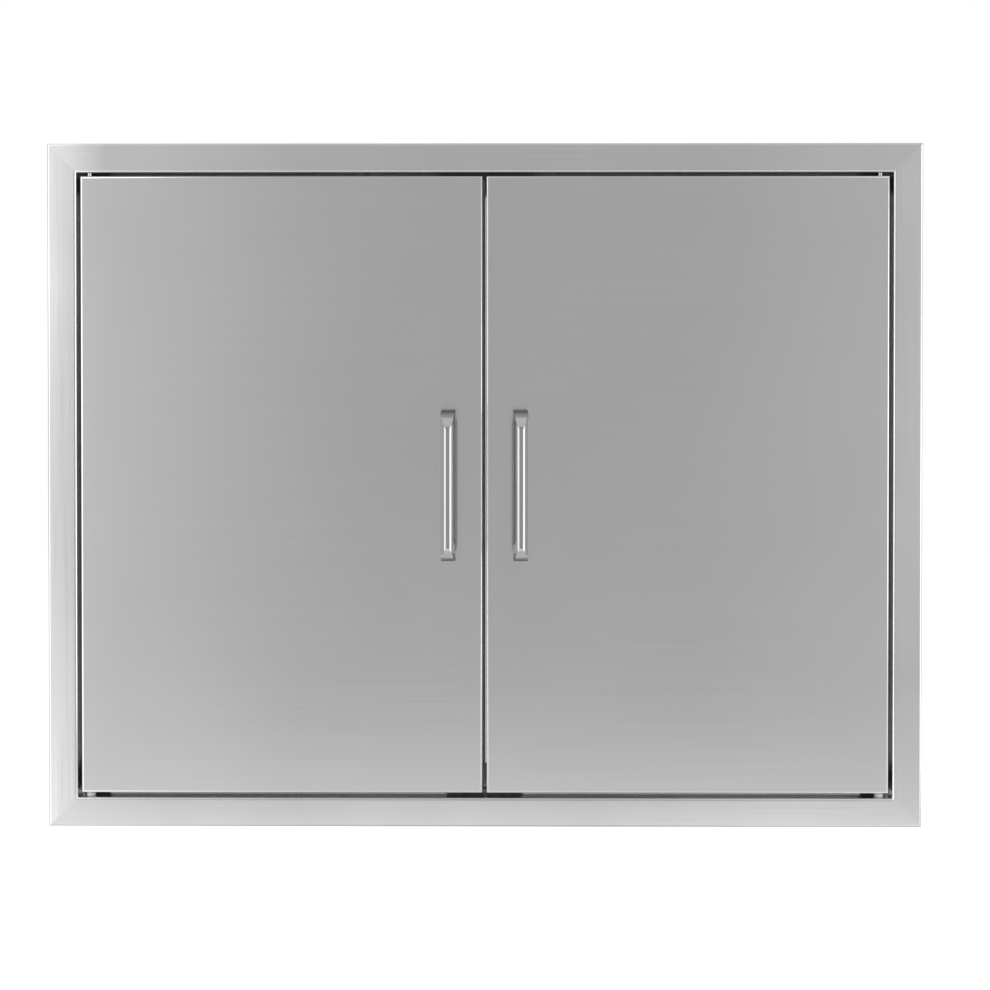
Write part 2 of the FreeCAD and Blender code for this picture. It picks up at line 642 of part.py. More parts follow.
def pull(side_name, side):
    """Arched pull: a flat foot at each end that narrows round a bend into a round bar."""
    body = new_body(f"{side_name}_pull")
    half = "(Sizes.PullLength / 2)"
    front = f"({FACE} - Sizes.PullProjection)"
    bar_back = f"({front} + Sizes.PullBar)"
    foot_inner = f"({half} - Sizes.PullFootHeight)"
    arch = new_sketch(body, "arch", "YZ_Plane")
    draw_outline(arch, [
        (FACE, half), (front, half), (front, f"-{half}"), (FACE, f"-{half}"),
        (FACE, f"-{foot_inner}"), (bar_back, f"-{foot_inner}"), (bar_back, foot_inner),
        (FACE, foot_inner),
    ])
    bow = pad(body, arch, "Sizes.PullFootWidth", side="Symmetric")
    round_edges(body, bow, "Sizes.PullBend",
                lambda p: near(p.y, front) and abs(p.z) > measure(foot_inner), ACROSS)

    # Seen from the front the ends taper from the foot's width to the bar's, and seen from above
    # they narrow away from the door.
    taper = new_sketch(body, "taper", "XZ_Plane")
    bar = "(Sizes.PullBar / 2)"
    foot = "(Sizes.PullFootWidth / 2)"
    taper_start = f"({half} - Sizes.PullBend)"
    for sign in (-1, 1):
        draw_outline(taper, [
            (f"{sign} * {bar}", f"-{taper_start}"), (f"{sign} * {foot}", f"-{half}"),
            (f"{sign} * ({foot} + Sizes.Overcut)", f"-{half}"),
            (f"{sign} * ({foot} + Sizes.Overcut)", half),
            (f"{sign} * {foot}", half), (f"{sign} * {bar}", taper_start),
        ])
    pocket(body, taper, side="Symmetric")
    lean = new_sketch(body, "lean", "XY_Plane")
    narrow = "(Sizes.PullFaceWidth / 2)"
    for sign in (-1, 1):
        draw_outline(lean, [
            (f"{sign} * {narrow}", f"{front} - Sizes.Overcut"), (f"{sign} * {narrow}", bar_back),
            (f"{sign} * {foot}", FACE), (f"{sign} * ({foot} + Sizes.Overcut)", FACE),
            (f"{sign} * ({foot} + Sizes.Overcut)", f"{front} - Sizes.Overcut"),
        ])
    pocket(body, lean, side="Symmetric")

    # The bar is turned round between the ends, with a conical shoulder where it meets each.
    axis_level = f"({front} + {bar})"
    shoulder = "(Sizes.PullRound / 2)"
    cut_radius = "(Sizes.PullFlareDiameter / 2)"
    cut = new_sketch(body, "round", "YZ_Plane")
    cut.setExpression(".AttachmentOffset.Base.x", axis_level)
    draw_outline(cut, [
        (bar, f"-{shoulder}"), (bar, shoulder), (cut_radius, f"{shoulder} + Sizes.PullFlare"),
        (cut_radius, f"-({shoulder} + Sizes.PullFlare)"),
    ])
    before = body.Shape.Volume
    groove = body.newObject("PartDesign::Groove", f"{body.Name}_groove")
    groove.Profile = cut
    groove.ReferenceAxis = (cut, ["V_Axis"])
    groove.Angle = 360
    doc.recompute()
    if body.Shape.Volume > before - 1:
        raise ValueError("the pull's bar is not rounded")

    holes = new_sketch(body, "threads", "XZ_Plane", "Sizes.StandOff")
    for end in (-1, 1):
        draw_circle(holes, "0", f"{end} * Sizes.PullCentres / 2",
                    "Sizes.PullScrew + 2 * Sizes.FitGap")
    pocket(body, holes, "Sizes.PullScrewDepth + Sizes.Overcut", backwards=True)
    set_place(body, f"{side} * {PULL_X}", z="Sizes.PullLevel")
    return keep(f"{side_name}_pull", body)


def pull_fixings(side_name, side):
    """Backing plate and screws behind the pull, and the plugs that close the liner's holes."""
    plate = new_body(f"{side_name}_pull_backer")
    outline = new_sketch(plate, "outline", "XZ_Plane", f"-{BACKER_BACK}")
    half = "(Sizes.PullCentres / 2 + Sizes.BackerOverhang)"
    centre = f"{side} * {PULL_X}"
    draw_box(outline, f"{centre} - Sizes.BackerWidth / 2", f"{centre} + Sizes.BackerWidth / 2",
             f"Sizes.PullLevel - {half}", f"Sizes.PullLevel + {half}")
    for across, level in pull_places(side):
        draw_circle(outline, across, level, "Sizes.ScrewHole")
    pad(plate, outline, "Sizes.BackerSheet")
    keep(f"{side_name}_pull_backer", plate)

    screws = []
    plugs = []
    shank = f"{BACKER_BACK} - {FACE} + Sizes.PullScrewDepth"
    for index, (across, level) in enumerate(pull_places(side)):
        screw = bolt(f"{side_name}_pull_screw_{index}", "Sizes.PullHeadWidth",
                     "Sizes.PullHeadHeight", "Sizes.PullScrew", shank)
        set_place(screw, across, BACKER_BACK, level, (1, 0, 0), -90)
        screws.append(screw)
        radius = "Sizes.AccessHole / 2 - Sizes.FitGap"
        plug = turned(f"{side_name}_plug_{index}", [
            ("0", "0"), (radius, "0"), (radius, "Sizes.PlugLength"), ("0", "Sizes.PlugLength"),
        ])
        plug_front = f"{DOOR_BACK} + Sizes.PlugProud - Sizes.PlugLength"
        set_place(plug, across, plug_front, level, (1, 0, 0), -90)
        plugs.append(plug)
    group(f"{side_name}_pull_screws", screws)
    group(f"{side_name}_liner_plugs", plugs)


def strike(side_name, side):
    """Steel strike plate on the liner's back, where the catch's pole plates meet the door."""
    plate = new_body(f"{side_name}_strike_plate")
    outline = new_sketch(plate, "outline", "XZ_Plane", f"-{DOOR_BACK}")
    centre = f"{side} * Sizes.CatchPitch / 2"
    draw_box(outline, f"{centre} - Sizes.StrikeLength / 2", f"{centre} + Sizes.StrikeLength / 2",
             f"{CATCH_LEVEL} - Sizes.StrikeHeight / 2", f"{CATCH_LEVEL} + Sizes.StrikeHeight / 2")
    pad(plate, outline, "Sizes.StrikeSheet", backwards=True)
    keep(f"{side_name}_strike_plate", plate)


def meeting_strip():
    """Rubber strip stuck to the left door's free edge, with a fin that darkens the gap."""
    body = new_body("left_meeting_strip")
    section = new_sketch(body, "section", "XY_Plane", f"{DOOR_BOTTOM} + Sizes.DoorBend")
    stuck = f"(-{FREE_EDGE})"
    face = f"({stuck} + Sizes.SealBase)"
    tip = f"({FREE_EDGE} - Sizes.SealClearance)"
    middle = f"({DOOR_BACK} - Sizes.SealWidth / 2)"
    draw_outline(section, [
        (stuck, f"{DOOR_BACK} - Sizes.SealWidth"), (face, f"{DOOR_BACK} - Sizes.SealWidth"),
        (face, f"{middle} - Sizes.SealFin / 2"), (tip, f"{middle} - Sizes.SealFin / 2"),
        (tip, f"{middle} + Sizes.SealFin / 2"), (face, f"{middle} + Sizes.SealFin / 2"),
        (face, DOOR_BACK), (stuck, DOOR_BACK),
    ])
    pad(body, section, f"{DOOR_TOP} - {DOOR_BOTTOM} - 2 * Sizes.DoorBend")
    return keep("left_meeting_strip", body)


def build_door(side_name, side):
    name = f"{side_name}_door"
    door_skin(name, side)
    door_liner(name, side)
    door_pivot_parts(name, side)
    pull(side_name, side)
    pull_fixings(side_name, side)
    strike(side_name, side)


def check_and_write():
    """Refuse a failed feature or a bad solid, then write one file for each sub-part."""
    doc.recompute()
    for thing in doc.Objects:
        if {"Invalid", "Error"} & set(thing.State):
            raise ValueError(f"{thing.Name} is {thing.State}")
    for thing in sub_parts:
        if thing.Shape.isNull() or not thing.Shape.isValid():
            raise ValueError(f"{thing.Label} has no valid shape")
    os.makedirs("parts", exist_ok=True)
    for thing in sub_parts:
        thing.Shape.exportStep(f"parts/{thing.Label}.step")
        print(f"{thing.Label}: {len(thing.Shape.Solids)} solids, {thing.Shape.Volume:.1f} mm3")


build_frame()
build_pivots()
build_catch()
build_stop()
for door_side, door_sign in SIDES:
    build_door(door_side, door_sign)
meeting_strip()
check_and_write()
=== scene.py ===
"""Looks of the double access door: folded brushed steel, polished pulls, pivots, catch and stop.

Shapes are worked out in millimetres in the row frame (X to the right, Y into the island, Z up, the
origin at the centre of the opening on the island's face) and scaled to metres as they are placed.
"""
import logging
import math
from collections.abc import Callable, Iterable, Sequence
from dataclasses import dataclass
from enum import Enum

import bmesh
import bpy
from bmesh.types import BMEdge, BMesh, BMFace, BMVert
from mathutils import Matrix, Vector


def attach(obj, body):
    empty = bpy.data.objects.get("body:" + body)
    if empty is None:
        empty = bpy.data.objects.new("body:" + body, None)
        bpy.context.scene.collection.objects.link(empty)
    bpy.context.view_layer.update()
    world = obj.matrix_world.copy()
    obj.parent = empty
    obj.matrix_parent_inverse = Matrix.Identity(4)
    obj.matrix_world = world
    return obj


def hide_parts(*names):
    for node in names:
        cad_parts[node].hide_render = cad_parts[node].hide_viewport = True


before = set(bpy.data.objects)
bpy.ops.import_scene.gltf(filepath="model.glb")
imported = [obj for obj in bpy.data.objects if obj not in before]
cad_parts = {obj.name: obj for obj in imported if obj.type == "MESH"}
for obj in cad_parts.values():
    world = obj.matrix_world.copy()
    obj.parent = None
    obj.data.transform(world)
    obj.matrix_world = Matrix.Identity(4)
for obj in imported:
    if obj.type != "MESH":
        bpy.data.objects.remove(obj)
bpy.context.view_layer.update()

LOG = logging.getLogger("access_door")
MILLIMETRE = 0.001
PHOTO_PIXELS = 990
BEND_STEPS = 6
TURN_STEPS = 48
PIN_STEPS = 32
SWEEP_STEPS = 18
RIDGE_STEPS = 9
RIM_STEPS = 5
MERGE = 0.0005
BOTH = (-1, 1)
WHITE = (1, 1, 1, 1)
FACE = -8.0
OPENING_X, OPENING_Z = 367.0, 281.5
PLATE_LEVEL = 284.7
PIVOT_X, PIVOT_Y = 356.8, -1.0
DOOR_BOTTOM, DOOR_TOP, DOOR_BACK = -277.5, 278.7, 12.0
PULL_X, PULL_LEVEL, PULL_CENTRES = 32.2, 1.4, 127.0
Point = tuple[float, float]
Corner = tuple[float, float, float]
Spans = tuple[Point, Point, Point]
Node = bpy.types.Node
Socket = bpy.types.NodeSocket
Inputs = dict[str | int, object]


class Side(Enum):
    """Which of the two doors, with its sign along X."""

    LEFT = -1
    RIGHT = 1

    @property
    def word(self) -> str:
        """Word that the node names use for this side."""
        return self.name.lower()

    def place(self, shape: BMesh, label: str, finishes: "Sequence[Finish]", node: str, slot: str,
              crease: float = 32.0) -> None:
        """Places a piece of this side's door; the names of piece and node get the side's word."""
        place(shape, f"{self.word}_{label}", finishes, f"{self.word}_door",
              [f"{self.word}_{node}"], slot, crease)


class Grain(Enum):
    """Way the brush lines run on a sheet piece."""

    LEVEL = "level"
    UPRIGHT = "upright"


class Cut(Enum):
    """What one closed shape does to another."""

    AWAY = "DIFFERENCE"
    COMMON = "INTERSECT"


class Zone(Enum):
    """Kinds of faces on a pull, in the order of its finishes."""

    BAR = 0
    FOOT = 1
    # inner flanks of the feet, painted dark as shade
    PAINTED_SHADE_FLANK = 2


def linked(label: str, data: bpy.types.ID) -> bpy.types.Object:
    """A new object of the scene that holds a mesh, a lamp or a camera.

    Args:
        label: its name.
        data: what it holds.

    Returns:
        The object.
    """
    item = bpy.data.objects.new(label, data)
    bpy.context.scene.collection.objects.link(item)
    return item


def meshed(label: str, shape: BMesh) -> bpy.types.Object:
    """A new object of the scene whose mesh is a shape, which is used up.

    Args:
        label: name of the object and the mesh.
        shape: the shape.

    Returns:
        The object.
    """
    mesh = bpy.data.meshes.new(label)
    shape.to_mesh(mesh)
    shape.free()
    return linked(label, mesh)


# Shapes


def about(centre: float, length: float) -> Point:
    """Start and end of a length that lies evenly about its centre."""
    return (centre - length / 2, centre + length / 2)


def placed(spot: Corner, tilt: float = 0.0) -> Matrix:
    """Axes moved to a spot and tilted about X by degrees."""
    return Matrix.Translation(spot) @ Matrix.Rotation(math.radians(tilt), 4, "X")


def near(value: float, level: float) -> bool:
    """Whether two lengths are the same to a hundredth of a millimetre."""
    return abs(value - level) < 0.01


def added(shape: BMesh, before: set[BMVert]) -> list[BMVert]:
    """Vertices that a shape has gained since a set of them was taken."""
    return [vertex for vertex in shape.verts if vertex not in before]


def new_ends(pulled: dict[str, list]) -> list[BMVert]:
    """Vertices among what an extrusion has made."""
    return [item for item in pulled["geom"] if isinstance(item, BMVert)]


def edges_where(shape: BMesh, test: Callable[[Vector], bool]) -> list[BMEdge]:
    """Edges of a shape whose two ends both pass a test of their place."""
    return [edge for edge in shape.edges if all(test(vertex.co) for vertex in edge.verts)]


def add_block(shape: BMesh, x: Point, y: Point, z: Point) -> list[BMVert]:
    """Adds a rectangular block.

    Args:
        shape: mesh that gains the block.
        x: what it fills of X.
        y: what it fills of Y.
        z: what it fills of Z.

    Returns:
        The block's vertices.
    """
    centre = [(low + high) / 2 for low, high in (x, y, z)]
    size = [high - low for low, high in (x, y, z)]
    matrix = Matrix.Translation(centre) @ Matrix.Diagonal((*size, 1))
    return bmesh.ops.create_cube(shape, size=1, matrix=matrix)["verts"]


def add_turning(shape: BMesh, outline: Sequence[Point], matrix: Matrix,
                steps: int = TURN_STEPS) -> None:
    """Adds a turned solid, spun from its outline about the local Z axis.

    Args:
        shape: mesh that gains the solid.
        outline: points of the outline as radius and height.
        matrix: where the local axes lie.
        steps: faces round the turning.
    """
    before = set(shape.verts)
    points = [shape.verts.new((radius, 0, height)) for radius, height in outline]
    edges = [shape.edges.new(pair) for pair in zip(points, points[1:])]
    bmesh.ops.spin(
        shape, geom=points + edges, cent=(0, 0, 0), axis=(0, 0, 1), dvec=(0, 0, 0),
        angle=2 * math.pi, steps=steps, use_merge=True, use_duplicate=False,
    )
    bmesh.ops.remove_doubles(shape, verts=added(shape, before), dist=MERGE)
    bmesh.ops.transform(shape, matrix=matrix, verts=added(shape, before))


def add_hexagon(shape: BMesh, width: float, height: float, matrix: Matrix) -> None:
    """Adds a soft-edged hexagonal head whose base lies on the local XY plane.

    Args:
        shape: mesh that gains the head.
        width: size across the flats.
        height: how far the head stands above its base.
        matrix: where the local axes lie.
    """
    radius, softness = width / math.sqrt(3), 0.14 * height
    turn = Matrix.Rotation(math.pi / 6, 4, "Z")
    head = set(bmesh.ops.create_cone(
        shape, cap_ends=True, segments=6, radius1=radius, radius2=radius, depth=height,
        matrix=matrix @ Matrix.Translation((0, 0, height / 2)) @ turn,
    )["verts"])
    rims = [edge for edge in shape.edges if set(edge.verts) <= head
            and any(len(face.verts) == 6 for face in edge.link_faces)]
    soften(shape, rims, softness, 2)


def soften(shape: BMesh, edges: Iterable[BMEdge], radius: float, steps: int = BEND_STEPS) -> None:
    """Rounds edges of a shape.

    Args:
        shape: mesh that the edges belong to.
        edges: edges to round.
        radius: radius at a right angle.
        steps: faces across the rounding.
    """
    bmesh.ops.bevel(
        shape, geom=list(edges), offset=radius, offset_type="OFFSET", segments=steps,
        profile=0.5, affect="EDGES", material=-1, clamp_overlap=True,
    )


def closed(shape: BMesh) -> BMesh:
    """Merges a shape's doubles, fills its holes and turns its faces outwards.

    Args:
        shape: mesh to close.

    Returns:
        The same mesh.
    """
    bmesh.ops.remove_doubles(shape, verts=shape.verts, dist=MERGE)
    edges = [edge for edge in shape.edges if edge.is_boundary]
    if edges:
        bmesh.ops.holes_fill(shape, edges=edges, sides=0)
    bmesh.ops.recalc_face_normals(shape, faces=shape.faces)
    return shape


def carve(shape: BMesh, tool: BMesh, cut: Cut) -> BMesh:
    """Cuts one closed shape with another, and uses both up.

    Args:
        shape: mesh that is cut.
        tool: mesh that cuts it.
        cut: which part of the shape stays.

    Returns:
        The mesh that is left.
    """
    carved, cutter = meshed("carved", shape), meshed("tool", tool)
    modifier = carved.modifiers.new("cut", "BOOLEAN")
    modifier.object = cutter
    modifier.operation = cut.value
    modifier.solver = "EXACT"
    solved = carved.evaluated_get(bpy.context.evaluated_depsgraph_get())
    result = bmesh.new()
    result.from_mesh(solved.to_mesh())
    solved.to_mesh_clear()
    for mesh in (carved.data, cutter.data):
        bpy.data.meshes.remove(mesh)
    return result


def drilled(shape: BMesh, centres: Sequence[Corner], axis: Corner, diameter: float,
            reach: float) -> BMesh:
    """Drills round holes.

    Args:
        shape: closed mesh to drill, used up here.
        centres: middle of each hole.
        axis: direction of every hole.
        diameter: of each hole.
        reach: how far the drill goes to each side of its centre.

    Returns:
        The drilled mesh.
    """
    drills = bmesh.new()
    turn = Vector(axis).to_track_quat("Z", "Y").to_matrix().to_4x4()
    for centre in centres:
        bmesh.ops.create_cone(
            drills, cap_ends=True, segments=TURN_STEPS, radius1=diameter / 2,
            radius2=diameter / 2, depth=2 * reach, matrix=Matrix.Translation(centre) @ turn,
        )
    return carve(shape, drills, Cut.AWAY)


def unroll(shape: BMesh, grain: Grain, front: float) -> None:
    """Gives folded sheet the UV map "brush": U across the brush lines and V along them, in metres.

    Args:
        shape: mesh in millimetres.
        grain: way the lines run on the front.
        front: level of the front along Y, from which the folded edges are laid out flat.
    """
    layer = shape.loops.layers.uv.new("brush")
    for face in shape.faces:
        normal = face.normal
        for loop in face.loops:
            spot = loop.vert.co
            across, up = spot.x, spot.z
            if abs(normal.x) > 0.02 and abs(normal.x) >= abs(normal.z):
                across += math.copysign(spot.y - front, normal.x)
            elif abs(normal.z) > 0.02:
                up += math.copysign(spot.y - front, normal.z)
            pair = (up, across) if grain is Grain.LEVEL else (across, up)
            loop[layer].uv = (pair[0] * MILLIMETRE, pair[1] * MILLIMETRE)


def folded_strip(path: Sequence[Point], radii: Sequence[float], length: float,
                 sheet: float) -> BMesh:
    """A folded strip of sheet, drawn by the line of its outer side.

    Args:
        path: points of that line as Y and Z, from one edge to the other.
        radii: bend radius at each inner point of the line.
        length: of the strip, centred along X.
        sheet: thickness, laid on the right-hand side of the line as seen from +X.

    Returns:
        The closed strip.
    """
    shape = bmesh.new()
    points = [shape.verts.new((-length / 2, y, z)) for y, z in path]
    lines = [shape.edges.new(pair) for pair in zip(points, points[1:])]
    ends = new_ends(bmesh.ops.extrude_edge_only(shape, edges=lines))
    bmesh.ops.translate(shape, verts=ends, vec=(length, 0, 0))
    for (y, z), radius in zip(path[1:-1], radii):
        fold = edges_where(shape, lambda spot: near(spot.y, y) and near(spot.z, z))
        soften(shape, fold, radius)
    bmesh.ops.solidify(shape, geom=list(shape.faces), thickness=-sheet)
    return closed(shape)


def cross_cut(shape: BMesh, point: Corner, normal: Corner) -> None:
    """Cuts off what lies on the normal's side of a plane, and leaves the end open.

    Args:
        shape: mesh to cut.
        point: a point of the plane.
        normal: direction that the plane faces.
    """
    bmesh.ops.bisect_plane(
        shape, geom=[*shape.verts, *shape.edges, *shape.faces], dist=MERGE, plane_co=point,
        plane_no=normal, clear_outer=True,
    )


def folded_pan(spans: Spans, open_back: bool, bend: float, sheet: float) -> BMesh:
    """A folded sheet pan: a block with one large face left out, rounded opposite it.

    Args:
        spans: what the pan fills of X, Y and Z.
        open_back: whether the open face is the one at the back.
        bend: radius of the four long bends.
        sheet: thickness, laid inwards.

    Returns:
        The closed sheet.
    """
    shape = bmesh.new()
    add_block(shape, *spans)
    bent_level, open_level = spans[1] if open_back else reversed(spans[1])
    lid = [f for f in shape.faces if all(near(v.co.y, open_level) for v in f.verts)]
    bmesh.ops.delete(shape, geom=lid, context="FACES_ONLY")
    bmesh.ops.recalc_face_normals(shape, faces=shape.faces)
    soften(shape, edges_where(shape, lambda spot: near(spot.y, bent_level)), bend)
    bmesh.ops.solidify(shape, geom=list(shape.faces), thickness=sheet)
    return closed(shape)


# Finishes


@dataclass(frozen=True)
class Fade:
    """Change of tone between two places along an axis, in metres; outside them it holds. It paints
    light and shade into a finish.
    """

    axis: str
    start: float
    stop: float
    low: float
    high: float


class Graph:
    """Node tree of a material or of the world, with the shader that feeds its output."""

    def __init__(self, owner: bpy.types.Material | bpy.types.World, shader: str) -> None:
        """Empties the owner's tree and joins a new shader to its output.

        Args:
            owner: what the tree belongs to.
            shader: kind of the shader node.
        """
        owner.use_nodes = True
        self.tree = owner.node_tree
        self.tree.nodes.clear()
        self.shader = self.node(shader)
        kind = "World" if isinstance(owner, bpy.types.World) else "Material"
        self.node(f"Output{kind}", {"Surface": self.shader})

    def node(self, kind: str, inputs: Inputs | None = None, **settings: object) -> Node:
        """Adds a node.

        Args:
            kind: Blender's name of the node, without ShaderNode.
            inputs: what its sockets get, by name or number.
            **settings: its own properties.

        Returns:
            The node.
        """
        made = self.tree.nodes.new(f"ShaderNode{kind}")
        for name, value in settings.items():
            setattr(made, name, value)
        self.feed(made, inputs or {})
        return made

    def feed(self, node: Node, inputs: Inputs) -> None:
        """Gives sockets of a node a value, an output of another node, or its first output.

        Args:
            node: node that is fed.
            inputs: what its sockets get, by name or number.
        """
        for name, value in inputs.items():
            source = value.outputs[0] if isinstance(value, Node) else value
            if isinstance(source, Socket):
                self.tree.links.new(source, node.inputs[name])
            else:
                node.inputs[name].default_value = source

    def settle(self, **inputs: object) -> None:
        """Feeds the shader; its sockets are named with underscores for spaces."""
        self.feed(self.shader, {name.replace("_", " "): value for name, value in inputs.items()})

    def noise(self, scale: Corner, detail: float, flat: bool = False) -> Node:
        """Adds noise that is stretched along the object's axes, or along its brush map.

        Args:
            scale: lumps to the metre along each axis.
            detail: octaves of the noise.
            flat: whether it lies on the UV map "brush".

        Returns:
            The noise node.
        """
        spot = (self.node("UVMap", uv_map="brush") if flat
                else self.node("TexCoord").outputs["Object"])
        stretched = self.node("Mapping", {"Vector": spot, "Scale": scale})
        return self.node("TexNoise", {"Vector": stretched, "Scale": 1.0, "Detail": detail})

    def mix(self, first: Node, second: Node, share: float) -> Node:
        """Adds a mix of two patterns, with the share of the second."""
        return self.node("Mix", {"A": first, "B": second, "Factor": share}, data_type="FLOAT")

    def spread(self, source: Node | Socket, goal: Point, span: Point = (0.3, 0.7),
               curve: str = "LINEAR") -> Node:
        """Maps a pattern's values onto a range of numbers.

        Args:
            source: what gives the pattern.
            goal: numbers at the range's ends.
            span: values of the pattern that the ends stand for.
            curve: Blender's name of the way from one end to the other.

        Returns:
            The mapping node.
        """
        return self.node("MapRange", {
            "Value": source, "From Min": span[0], "From Max": span[1], "To Min": goal[0],
            "To Max": goal[1],
        }, interpolation_type=curve)

    def roughen(self, source: Node, low: float, high: float) -> None:
        """Lets a pattern vary the shader's roughness."""
        self.settle(Roughness=self.spread(source, (low, high)))

    def paint(self, source: Node, colour: Corner, mottle: float) -> None:
        """Lets a pattern vary the shader's colour, by a share of it to each side.

        Args:
            source: node that gives the pattern.
            colour: the mean colour.
            mottle: the share.
        """
        ramp = self.node("ValToRGB", {"Fac": source})
        for stop, level, factor in zip(ramp.color_ramp.elements, (0.25, 0.75),
                                       (1 - mottle, 1 + mottle)):
            stop.position = level
            stop.color = (*(min(1.0, part * factor) for part in colour), 1)
        self.settle(Base_Color=ramp)

    def relief(self, source: Node, strength: float, depth: float) -> None:
        """Gives the shader a bump from a pattern."""
        bump = self.node("Bump", {"Height": source, "Strength": strength, "Distance": depth})
        self.settle(Normal=bump)

    def along(self, axis: str) -> Socket:
        """Adds the object's coordinate along an axis."""
        place = self.node("TexCoord").outputs["Object"]
        return self.node("SeparateXYZ", {"Vector": place}).outputs[axis]

    def fade(self, fades: Sequence[Fade]) -> None:
        """Paints light and shade by scaling the shader's tone along the object's axes.

        Args:
            fades: changes of the tone, one after the other.
        """
        tone = self.shader.inputs["Base Color"].links[0].from_node
        for fade in fades:
            level = self.spread(self.along(fade.axis), (fade.low, fade.high),
                                (fade.start, fade.stop))
            tone = self.node("VectorMath", {"Vector": tone, "Scale": level}, operation="SCALE")
        self.settle(Base_Color=tone)

    def seen(self) -> Node:
        """Adds a factor that is one where the eye, metal or glass looks, and none for shading.

        Returns:
            The node that gives the factor.
        """
        rays = self.node("LightPath").outputs
        factor = rays["Is Camera Ray"]
        for ray in (rays["Is Glossy Ray"], rays["Is Transmission Ray"]):
            factor = self.node("Math", {0: factor, 1: ray}, operation="MAXIMUM")
        return factor


@dataclass(frozen=True)
class Finish:
    """Look of one kind of surface; the kinds below say how it is patterned."""

    label: str
    colour: Corner
    roughness: float

    def material(self) -> bpy.types.Material:
        """This finish as a material, made the first time that it is asked for.

        Returns:
            The material.
        """
        found = bpy.data.materials.get(self.label)
        if found is None:
            found = bpy.data.materials.new(self.label)
            self.pattern(Graph(found, "BsdfPrincipled"))
        return found

    def pattern(self, graph: Graph) -> None:
        """Adds this finish's nodes to a material."""
        raise NotImplementedError


@dataclass(frozen=True)
class BrushedSteel(Finish):
    """Stainless sheet with brush lines along V of its UV map.

    Attributes:
        stretch: how far highlights are drawn out across the lines.
        swing: how much the lines vary the roughness.
        mottle: how much the tone varies.
        fades: painted light and shade, as changes of the tone along the sheet.
    """

    stretch: float = 0.75
    swing: float = 0.05
    mottle: float = 0.015
    fades: tuple[Fade, ...] = ()

    def pattern(self, graph: Graph) -> None:
        """Fine and coarse brush lines, a faint cloudiness and the stretched highlight.

        Args:
            graph: node tree of the material.
        """
        fine = graph.noise((2600, 9, 1), 3, True)
        coarse = graph.noise((340, 3, 1), 4, True)
        cloud = graph.noise((7, 7, 7), 3)
        lines = graph.mix(fine, coarse, 0.4)
        graph.roughen(lines, self.roughness - self.swing, self.roughness + self.swing)
        graph.paint(graph.mix(lines, cloud, 0.5), self.colour, self.mottle)
        graph.fade(self.fades)
        graph.relief(fine, 0.02, 0.00002)
        tangent = graph.node("Tangent", direction_type="UV_MAP", uv_map="brush")
        graph.settle(Metallic=1.0, Anisotropic=self.stretch, Tangent=tangent)


@dataclass(frozen=True)
class SolidMetal(Finish):
    """Plated, turned or polished metal with faint marks that run along one axis.

    Attributes:
        marks: lumps to the metre along each axis of the faint marks.
        swing: how much the marks vary the roughness.
        mottle: how much the tone varies.
        depth: depth of the marks, in metres.
        fades: painted light and shade, as changes of the tone along the piece.
        rim: tone of the highlights at a glancing angle.
    """

    marks: Corner = (160, 160, 160)
    swing: float = 0.04
    mottle: float = 0.03
    depth: float = 0.00001
    fades: tuple[Fade, ...] = ()
    rim: float = 1.0

    def pattern(self, graph: Graph) -> None:
        """Marks in the roughness and the relief, over a cloudy tone.

        Args:
            graph: node tree of the material.
        """
        marks = graph.noise(self.marks, 4)
        graph.roughen(marks, self.roughness - self.swing, self.roughness + self.swing)
        graph.paint(graph.noise((35, 35, 35), 3), self.colour, self.mottle)
        graph.fade(self.fades)
        graph.relief(marks, 0.15, self.depth)
        graph.settle(Metallic=1.0, Specular_Tint=(self.rim, self.rim, self.rim, 1))


@dataclass(frozen=True)
class Moulded(Finish):
    """Moulded plastic, rubber or pressed ferrite with a fine grainy skin.

    Attributes:
        grains: grains to the metre.
        depth: depth of the grains, in metres.
        mottle: how much the tone varies.
    """

    grains: float = 2200
    depth: float = 0.00003
    mottle: float = 0.06

    def pattern(self, graph: Graph) -> None:
        """Fine grains over faint flow marks.

        Args:
            graph: node tree of the material.
        """
        grains = graph.noise((self.grains,) * 3, 2)
        graph.roughen(grains, self.roughness - 0.05, self.roughness + 0.06)
        graph.paint(graph.noise((60, 60, 25), 3), self.colour, self.mottle)
        graph.relief(grains, 0.35, self.depth)


def painted_light_member_steel(label: str, tone: float, *fades: Fade) -> BrushedSteel:
    """Brushed finish of one member of the frame, whose tone and changes of tone along it are painted
    light and painted reflection for that member.
    """
    return BrushedSteel(label, (tone,) * 3, 0.17, stretch=0.72, swing=0.02, mottle=0.09,
                        fades=fades)


def polished(label: str, colour: Corner, roughness: float) -> SolidMetal:
    """Polished metal whose marks run upright."""
    return SolidMetal(label, colour, roughness, marks=(500, 500, 30), swing=0.02, mottle=0.01,
                      depth=0.000002)


SKIN_STEEL = BrushedSteel("skin_steel", (0.62, 0.62, 0.62), 0.2, stretch=0.71, swing=0.02,
                          mottle=0.04)
